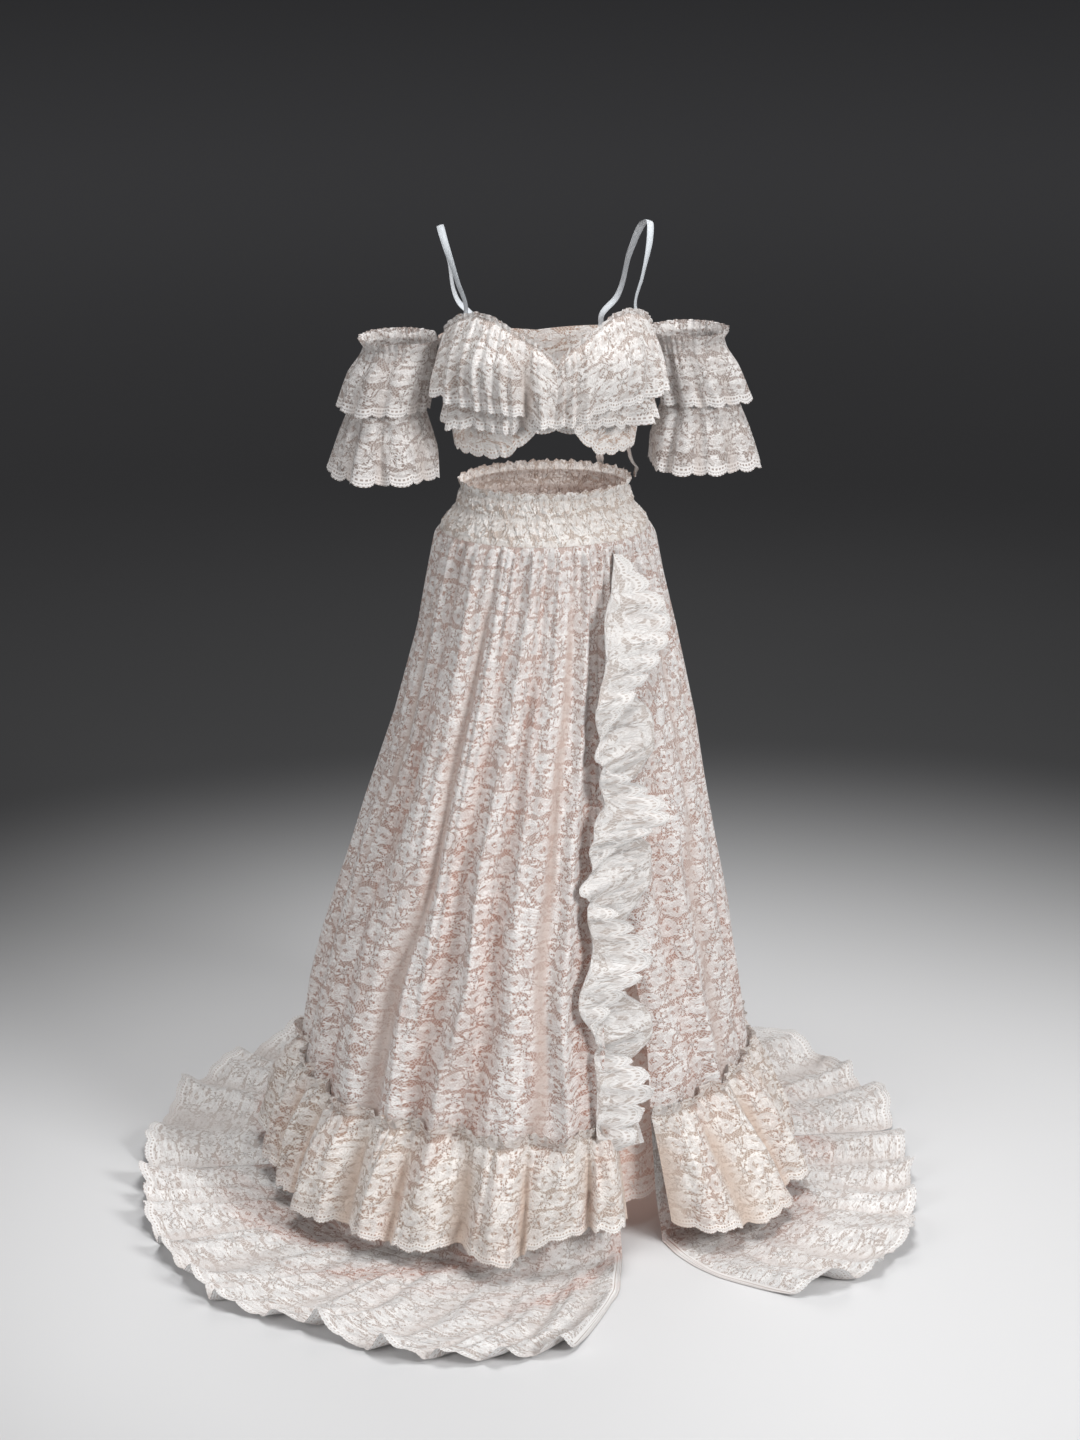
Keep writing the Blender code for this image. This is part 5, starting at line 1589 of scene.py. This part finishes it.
class Bench:
    """A material's node tree with the few steps that every finish takes."""

    def __init__(self, name: str, roughness: float, sheen: float) -> None:
        """Starts a material with one Principled shader."""
        self.material = bpy.data.materials.new(name)
        self.material.use_nodes = True
        self.tree = self.material.node_tree
        self.shader = self.tree.nodes["Principled BSDF"]
        self.shader.inputs["Roughness"].default_value = roughness
        self.shader.inputs["Sheen Weight"].default_value = sheen
        self.shader.inputs["Sheen Roughness"].default_value = 0.5
        self.shader.inputs["Specular IOR Level"].default_value = 0.25

    def group(self, tree: bpy.types.NodeTree, **links: bpy.types.NodeSocket) -> bpy.types.Node:
        """A group node with some inputs joined; an underscore in a name stands for a space."""
        node = self.tree.nodes.new("ShaderNodeGroup")
        node.node_tree = tree
        for label, socket in links.items():
            self.tree.links.new(socket, node.inputs[label.replace("_", " ")])
        return node

    def uv(self) -> bpy.types.NodeSocket:
        """The cloth coordinates in metres."""
        node = self.tree.nodes.new("ShaderNodeUVMap")
        node.uv_map = "Cloth"
        return node.outputs["UV"]

    def attribute(self, label: str) -> bpy.types.NodeSocket:
        """A value kept on the mesh's points."""
        node = self.tree.nodes.new("ShaderNodeAttribute")
        node.attribute_name = label
        return node.outputs["Fac"]

    def place(self) -> bpy.types.NodeSocket:
        """Object coordinates."""
        return self.tree.nodes.new("ShaderNodeTexCoord").outputs["Object"]

    def term(self, socket: bpy.types.NodeSocket) -> Term:
        """A socket as a term."""
        return Term(self.tree, socket)

    def mix(self, factor: Number, first: Paint, second: Paint) -> bpy.types.NodeSocket:
        """A colour between two colours."""
        node = self.tree.nodes.new("ShaderNodeMix")
        node.data_type = "RGBA"
        if isinstance(factor, Term):
            self.tree.links.new(factor.socket, node.inputs["Factor"])
        else:
            node.inputs["Factor"].default_value = factor
        for value, index in zip((first, second), MIX_COLOUR_INPUTS):
            if isinstance(value, tuple):
                node.inputs[index].default_value = (*value, 1.0)
            else:
                self.tree.links.new(value, node.inputs[index])
        return node.outputs[MIX_COLOUR_OUTPUT]

    def feed(self, label: str, socket: bpy.types.NodeSocket) -> None:
        """Joins a socket to the shader."""
        self.tree.links.new(socket, self.shader.inputs[label])

    def bump(self, height: Term, distance: float, strength: float = 1.0) -> None:
        """Raises the surface by a height between 0 and 1 times a distance."""
        node = self.tree.nodes.new("ShaderNodeBump")
        node.inputs["Distance"].default_value = distance
        node.inputs["Strength"].default_value = strength
        self.tree.links.new(height.socket, node.inputs["Height"])
        self.feed("Normal", node.outputs["Normal"])


@dataclass(frozen=True)
class LaceFinish:
    """Corded lace.

    Attributes:
        name: The material's name.
        thread: The colour of flowers, leaves and cords.
        ground: The colour of the cloth between them.
        fold: The colour of the painted shade deep in a fold, also taken by the pattern's thin lines and slow
            patches.
        hole: The colour of the fine shaded threads in the holes of the net.
        deep_hole: The same where a blush lining shows through it.
        rose: The colour of the lace where a blush lining shows through it.
        openness: How wide the bands of net are, about 1.
        fold_cover: How far the holes close deep in a fold, and how strong the painted fold shade is there.
        veil: How much of a hole the net's own fine threads cover.
        painted_glow: A painted glow that the cloth emits as a share of its own colour, in place of the light
            that the thin cloth lets through from outside.
        line_tone: How far the thin lines of the pattern take the fold's colour.
        lining_tone: How far the lining's rose shows through the ground.
        fold_shade_tone: How far a deep fold takes the fold colour, as painted shade.
        drift_tone: How far slow patches of the cloth do.
        relief_depth: The height of the raised threads in metres.
    """

    name: str
    thread: Colour
    ground: Colour
    fold: Colour
    hole: Colour = (0.54, 0.47, 0.43)
    deep_hole: Colour = (0.42, 0.22, 0.165)
    rose: Colour = (0.66, 0.45, 0.375)
    openness: float = 1.0
    fold_cover: float = 1.0
    veil: float = 0.55
    painted_glow: float = 0.0
    line_tone: float = 0.36
    lining_tone: float = 0.36
    fold_shade_tone: float = 0.72
    drift_tone: float = 0.45
    relief_depth: float = 0.0010

    def build(self, lace: bpy.types.NodeTree, wrinkle: bpy.types.NodeTree) -> bpy.types.Material:
        """Makes the material from the lace and wrinkle groups."""
        bench = Bench(self.name, 0.85, 0.06)
        work = bench.group(lace, Cloth=bench.uv(), Edge=bench.attribute("edge"))
        work.inputs["Openness"].default_value = self.openness
        crease = bench.group(wrinkle, Place=bench.place())
        valley = bench.term(bench.attribute("valley")) * self.fold_cover
        motif = bench.term(work.outputs["Motif"])
        hole = bench.term(work.outputs["Hole"])
        line = bench.term(work.outputs["Line"])
        tone = bench.term(crease.outputs["Tone"])
        colour = bench.mix(motif, self.ground, self.thread)
        colour = bench.mix(line * self.line_tone, colour, self.fold)
        lining_shows = bench.term(bench.attribute("blush"))
        colour = bench.mix(lining_shows * (1.0 - motif * 0.3) * self.lining_tone, colour, self.rose)
        # Painted shade: deep in a fold the colour darkens towards the fold colour.
        colour = bench.mix(valley.rise(0.0, 1.0) * self.fold_shade_tone, colour, self.fold)
        colour = bench.mix((tone - 0.4) * self.drift_tone, colour, self.fold)
        open_share = hole * (1.0 - valley.rise(0.25, 0.85) * 0.45)
        colour = bench.mix(open_share, colour, bench.mix(lining_shows.least(1.0), self.hole, self.deep_hole))
        if self.veil < 1.0:
            bench.feed("Alpha", (1.0 - open_share * (1.0 - self.veil)).socket)
        bench.feed("Base Color", colour)
        # Painted glow: the cloth emits light of its own colour, though it is no lamp.
        if self.painted_glow > 0.0:
            bench.feed("Emission Color", colour)
            bench.shader.inputs["Emission Strength"].default_value = self.painted_glow
        relief = bench.term(work.outputs["Relief"]) * (1.0 - valley.rise(0.1, 0.9) * 0.6)
        bench.bump(relief + bench.term(crease.outputs["Relief"]) * 1.4, self.relief_depth)
        return bench.material


@dataclass(frozen=True)
class SatinFinish:
    """Smooth satin ribbon with a stitched edge.

    Attributes:
        name: The material's name.
        colour: The ribbon's colour.
        edge_colour: The colour of the stitches along its edges.
        weft_rate: Radians of weft for each metre along the ribbon.
        stitch_rate: Stitches for each metre.
        relief_depth: The height of weft and stitches in metres.
    """

    name: str = "white_satin"
    colour: Colour = (0.74, 0.78, 0.82)
    edge_colour: Colour = (0.62, 0.65, 0.69)
    weft_rate: float = 9000.0
    stitch_rate: float = 420.0
    relief_depth: float = 0.0005

    def build(self, wrinkle: bpy.types.NodeTree) -> bpy.types.Material:
        """Makes the material: fine weft lines across the ribbon, and a darker sewn line near each edge."""
        bench = Bench(self.name, 0.38, 0.25)
        parts = bench.tree.nodes.new("ShaderNodeSeparateXYZ")
        bench.tree.links.new(bench.uv(), parts.inputs[0])
        weft = (bench.term(parts.outputs["Y"]) * self.weft_rate).sine()
        seam = (bench.term(bench.attribute("edge")) * 1000.0 - 1.1).abs().rise(0.5, 0.2)
        stitch = (bench.term(parts.outputs["Y"]) * self.stitch_rate).fract().rise(0.2, 0.3)
        crease = bench.group(wrinkle, Place=bench.place())
        bench.feed("Base Color", bench.mix(seam * stitch, self.colour, self.edge_colour))
        height = 0.25 * weft + 0.9 * bench.term(crease.outputs["Relief"]) - 0.6 * seam * stitch
        bench.bump(height, self.relief_depth)
        return bench.material


class Lamp(NamedTuple):
    """An area light: its place, the point it faces, its side in metres, its watts and its beam in degrees."""

    name: str
    place: tuple[float, float, float]
    aim: tuple[float, float, float]
    size: float
    power: float
    spread: float


LAMPS = (
    Lamp("key", (2.5, -3.0, 1.5), (0.0, 0.0, -0.3), 1.4, 54.0, 120.0),
    Lamp("fill", (-3.2, -2.6, 0.9), (0.0, 0.0, -0.4), 2.4, 27.0, 120.0),
    Lamp("top", (0.1, -0.5, 2.9), (0.0, -0.4, -1.0), 1.6, 27.0, 110.0),
    Lamp("rear", (0.8, 3.4, 2.0), (0.0, 0.0, -0.3), 2.0, 16.0, 110.0),
)


@dataclass(frozen=True)
class Studio:
    """The floor with a painted pool of light round the dress, the soft lights and the camera.

    Attributes:
        floor_reach: Half the side of the floor.
        lit_pool_reach: How far from the dress the painted pool of light keeps the floor pale.
        unlit_reach: Where the painted shade has made it fully dark.
        camera_place: Where the camera is.
        tilt_degrees: Its angle up from looking straight down.
        turn_degrees: Its turn about the vertical.
        lens: Its focal length in millimetres.
        shift: Its sideways shift, as a share of the picture's longer side.
        painted_lit_floor: The floor's colour round the dress, painted pale as a pool of light.
        painted_unlit_floor: Its colour where painted shade has made it dark.
        painted_backdrop_colour: Its colour some metres away, painted lighter as a backdrop.
        painted_far_backdrop_colour: Its colour beyond, painted darker again.
        sky: The colour of the light from all sides.
    """

    floor_reach: float = 60.0
    lit_pool_reach: float = 0.7
    unlit_reach: float = 2.15
    camera_place: tuple[float, float, float] = (-0.609, -4.963, 1.395)
    tilt_degrees: float = 70.7
    turn_degrees: float = -7.0
    lens: float = 90.0
    shift: float = -5.0 / 1440.0
    painted_lit_floor: Colour = (0.735, 0.735, 0.74)
    painted_unlit_floor: Colour = (0.068, 0.068, 0.070)
    painted_backdrop_colour: Colour = (0.38, 0.38, 0.39)
    painted_far_backdrop_colour: Colour = (0.15, 0.15, 0.155)
    sky: Colour = (0.075, 0.075, 0.078)

    def floor_finish(self) -> bpy.types.Material:
        """Paper painted pale round the dress as a pool of light, dark away from it as painted shade, and
        lighter again farther off as a painted backdrop, in smooth rings.
        """
        bench = Bench("floor_painted_light", 0.8, 0.0)
        parts = bench.tree.nodes.new("ShaderNodeSeparateXYZ")
        bench.tree.links.new(bench.place(), parts.inputs[0])
        x, y = bench.term(parts.outputs["X"]) - 0.14, bench.term(parts.outputs["Y"]) + 0.25
        distance = (x * x * 0.8 + y * y).math("SQRT")
        noise = bench.tree.nodes.new("ShaderNodeTexNoise")
        noise.inputs["Scale"].default_value = 1.3
        bench.tree.links.new(bench.place(), noise.inputs["Vector"])
        # Painted light: the floor's colour is pale round the dress, darkens away from it, then lightens again
        # as a painted backdrop.
        far = distance.rise(self.lit_pool_reach, self.unlit_reach) + (bench.term(noise.outputs["Fac"]) - 0.5) * 0.02
        paper = bench.mix(far, self.painted_lit_floor, self.painted_unlit_floor)
        painted_backdrop = bench.mix(distance.rise(2.0, 9.0), paper, self.painted_backdrop_colour)
        bench.feed("Base Color", bench.mix(distance.rise(7.0, 20.0), painted_backdrop, self.painted_far_backdrop_colour))
        return bench.material

    def floor(self) -> None:
        """A large floor with a painted pool of light, level with the train's lowest point."""
        reach = self.floor_reach
        level = -WAIST_HEIGHT - 0.0004
        mesh = bpy.data.meshes.new("floor")
        corners = ((-reach, -reach), (reach, -reach), (reach, reach), (-reach, reach))
        mesh.from_pydata([(x, y, level) for x, y in corners], [], [(0, 1, 2, 3)])
        piece = bpy.data.objects.new("floor", mesh)
        bpy.context.scene.collection.objects.link(piece)
        mesh.materials.append(self.floor_finish())

    def light(self, lamp: Lamp) -> None:
        """Puts up an area light, turned to face its aim."""
        data = bpy.data.lights.new(lamp.name, "AREA")
        data.size = lamp.size
        data.energy = lamp.power
        data.spread = math.radians(lamp.spread)
        piece = bpy.data.objects.new(lamp.name, data)
        x, y, z = (to - start for start, to in zip(lamp.place, lamp.aim))
        piece.location = lamp.place
        piece.rotation_euler = (math.atan2(math.hypot(x, y), -z), 0.0, math.atan2(x, -y) + math.pi)
        bpy.context.scene.collection.objects.link(piece)

    def camera(self) -> None:
        """The camera, in front of the dress and a little above it."""
        data = bpy.data.cameras.new("camera")
        data.lens = self.lens
        data.shift_x = self.shift
        data.clip_end = 200.0
        camera = bpy.data.objects.new("camera", data)
        camera.location = self.camera_place
        camera.rotation_euler = (math.radians(self.tilt_degrees), 0.0, math.radians(self.turn_degrees))
        bpy.context.scene.collection.objects.link(camera)
        bpy.context.scene.camera = camera

    def build(self) -> None:
        """Sets the studio."""
        self.floor()
        for lamp in LAMPS:
            self.light(lamp)
        world = bpy.data.worlds.new("world")
        world.use_nodes = True
        world.node_tree.nodes["Background"].inputs["Color"].default_value = (*self.sky, 1.0)
        world.node_tree.nodes["Background"].inputs["Strength"].default_value = 1.0
        scene = bpy.context.scene
        scene.world = world
        scene.view_settings.view_transform = "Standard"
        scene.cycles.transparent_max_bounces = 24


class Finishes(NamedTuple):
    """The materials of the dress: one lace for each kind of piece, and the straps' satin."""

    ivory: bpy.types.Material
    ruffle: bpy.types.Material
    tiers: bpy.types.Material
    shaded_cuffs: bpy.types.Material
    flounce: bpy.types.Material
    train: bpy.types.Material
    lined: bpy.types.Material
    shirred: bpy.types.Material
    blush: bpy.types.Material
    satin: bpy.types.Material


LACE_FINISHES = (
    LaceFinish(
        "ivory_lace", thread=(0.97, 0.955, 0.945), ground=(0.91, 0.885, 0.87), fold=(0.50, 0.39, 0.34),
        hole=(0.45, 0.30, 0.25), openness=1.15, veil=0.88,
    ),
    # The slit ruffle's lace is a darker copy of the ivory lace: painted shade for a piece that stands nearer
    # the lights.
    LaceFinish(
        "slit_ruffle_lace_painted_shade", thread=(0.83, 0.81, 0.795), ground=(0.78, 0.755, 0.735), fold=(0.60, 0.53, 0.49),
        openness=0.95, fold_cover=0.6, veil=0.88,
    ),
    LaceFinish(
        "tier_lace", thread=(0.91, 0.89, 0.875), ground=(0.86, 0.835, 0.82), fold=(0.60, 0.52, 0.47),
        hole=(0.46, 0.36, 0.31), fold_cover=0.7, veil=0.75,
    ),
    # The sleeves' lace is a darker copy too: painted shade on both sleeves' tiers.
    LaceFinish(
        "cuff_lace_painted_shade", thread=(0.80, 0.78, 0.77), ground=(0.75, 0.725, 0.71), fold=(0.52, 0.45, 0.41),
        hole=(0.40, 0.31, 0.27), openness=1.1, fold_cover=0.7, veil=0.6,
    ),
    LaceFinish(
        "flounce_lace", thread=(0.97, 0.945, 0.92), ground=(0.91, 0.87, 0.83), fold=(0.52, 0.38, 0.29),
        hole=(0.46, 0.34, 0.27), openness=0.98, fold_cover=0.9, veil=0.88,
    ),
    LaceFinish(
        "train_lace", thread=(0.93, 0.92, 0.91), ground=(0.88, 0.865, 0.85), fold=(0.56, 0.50, 0.47),
        hole=(0.50, 0.42, 0.38), rose=(0.62, 0.32, 0.24), openness=0.92, fold_cover=0.7, veil=0.9,
    ),
    LaceFinish(
        "lined_lace", thread=(0.93, 0.905, 0.885), ground=(0.89, 0.86, 0.83), fold=(0.64, 0.56, 0.51),
        hole=(0.50, 0.36, 0.29), veil=1.0,
    ),
    LaceFinish(
        "shirred_lace", thread=(0.97, 0.95, 0.93), ground=(0.92, 0.895, 0.87), fold=(0.68, 0.60, 0.54),
        hole=(0.46, 0.36, 0.30), openness=1.12, fold_cover=0.4, veil=1.0,
    ),
    # The underskirt's lace carries a painted glow.
    LaceFinish(
        "blush_lace", thread=(0.86, 0.76, 0.71), ground=(0.82, 0.67, 0.61), fold=(0.68, 0.49, 0.42),
        hole=(0.58, 0.36, 0.29), fold_cover=0.3, veil=1.0, painted_glow=0.16,
    ),
)


def build_finishes() -> Finishes:
    """Makes every material from the same two node groups."""
    lace_work = LaceChart().build()
    wrinkle = build_wrinkle()
    laces = [finish.build(lace_work, wrinkle) for finish in LACE_FINISHES]
    return Finishes(*laces, SatinFinish().build(wrinkle))


def build_skirt(skirt: Skirt, finishes: Finishes) -> None:
    """Builds and dresses every piece of the skirt."""
    lace, gathered = Stuff.LACE, Held.GATHERED
    panels = skirt_panels()
    for panel in panels:
        name = panel.name
        yoke = "yoke_back_shirring" if name == "back" else "yoke_front_shirring"
        flounce = skirt.hem_ruffle_cloth
        wear(skirt.panel_cloth(panel), f"skirt_{name}", lace, finishes.ivory)
        wear(flounce(panel), f"hem_ruffle_{name}", lace, finishes.flounce)
        wear(skirt.train_cloth(panel), f"train_{name}", lace, finishes.train)
    wear(skirt.slit_ruffle_cloth(panels[0]), "slit_ruffle", lace, finishes.ruffle)
    for side, middle in (("front", 0.0), ("back", 180.0)):
        yoke = skirt.yoke_cloth(middle)
        wear(yoke, f"yoke_{side}", Stuff.SHIRRING, finishes.shirred)
    wear(skirt.underskirt_cloth(), "underskirt", Stuff.BLUSH, finishes.blush)


def build_top(top: Top, finishes: Finishes) -> None:
    """Builds and dresses every piece of the crop top."""
    lace, gathered, bodice = Stuff.LACE, Held.GATHERED, "bodice_front_lace"
    wear(top.bodice_cloth(False), "bodice_front", lace, finishes.lined)
    wear(top.bodice_cloth(True), "bodice_back", lace, finishes.lined)
    wear(top.upper_tier(), "bust_ruffle_upper", lace, finishes.tiers)
    for name, side in (("right", -1), ("left", 1)):
        wear(top.lower_tier(side), f"bust_ruffle_lower_{name}", lace, finishes.tiers)
        upper = top.sleeve_cloth(SLEEVE_UPPER, side, inset=0.0, upper=True)
        wear(upper, f"sleeve_upper_{name}", lace, finishes.shaded_cuffs)
        lower = top.sleeve_cloth(SLEEVE_LOWER, side, inset=LACE + GAP, upper=False)
        wear(lower, f"sleeve_lower_{name}", lace, finishes.shaded_cuffs)
        wear(top.strap_cloth(side), f"strap_{name}", Stuff.SATIN, finishes.satin)
    long_tail = top.tail_cloth(bodice_angle=101.3, yoke_angle=105.0, end_height=1.0545, sway=0.022)
    wear(long_tail, "tie_tail_1", lace, finishes.lined)
    resting_tail = top.tail_cloth(bodice_angle=123.8, yoke_angle=125.0, end_height=1.0440, sway=0.0)
    wear(resting_tail, "tie_tail_2", lace, finishes.lined)


def main() -> None:
    """Builds the dress and its studio, and logs each piece's cut size."""
    logging.basicConfig(level=logging.INFO, format="%(name)s: %(message)s")
    Studio().camera()
    finishes = build_finishes()
    build_skirt(Skirt(), finishes)
    build_top(Top(), finishes)
    Studio().build()


if __name__ == "__main__":
    main()
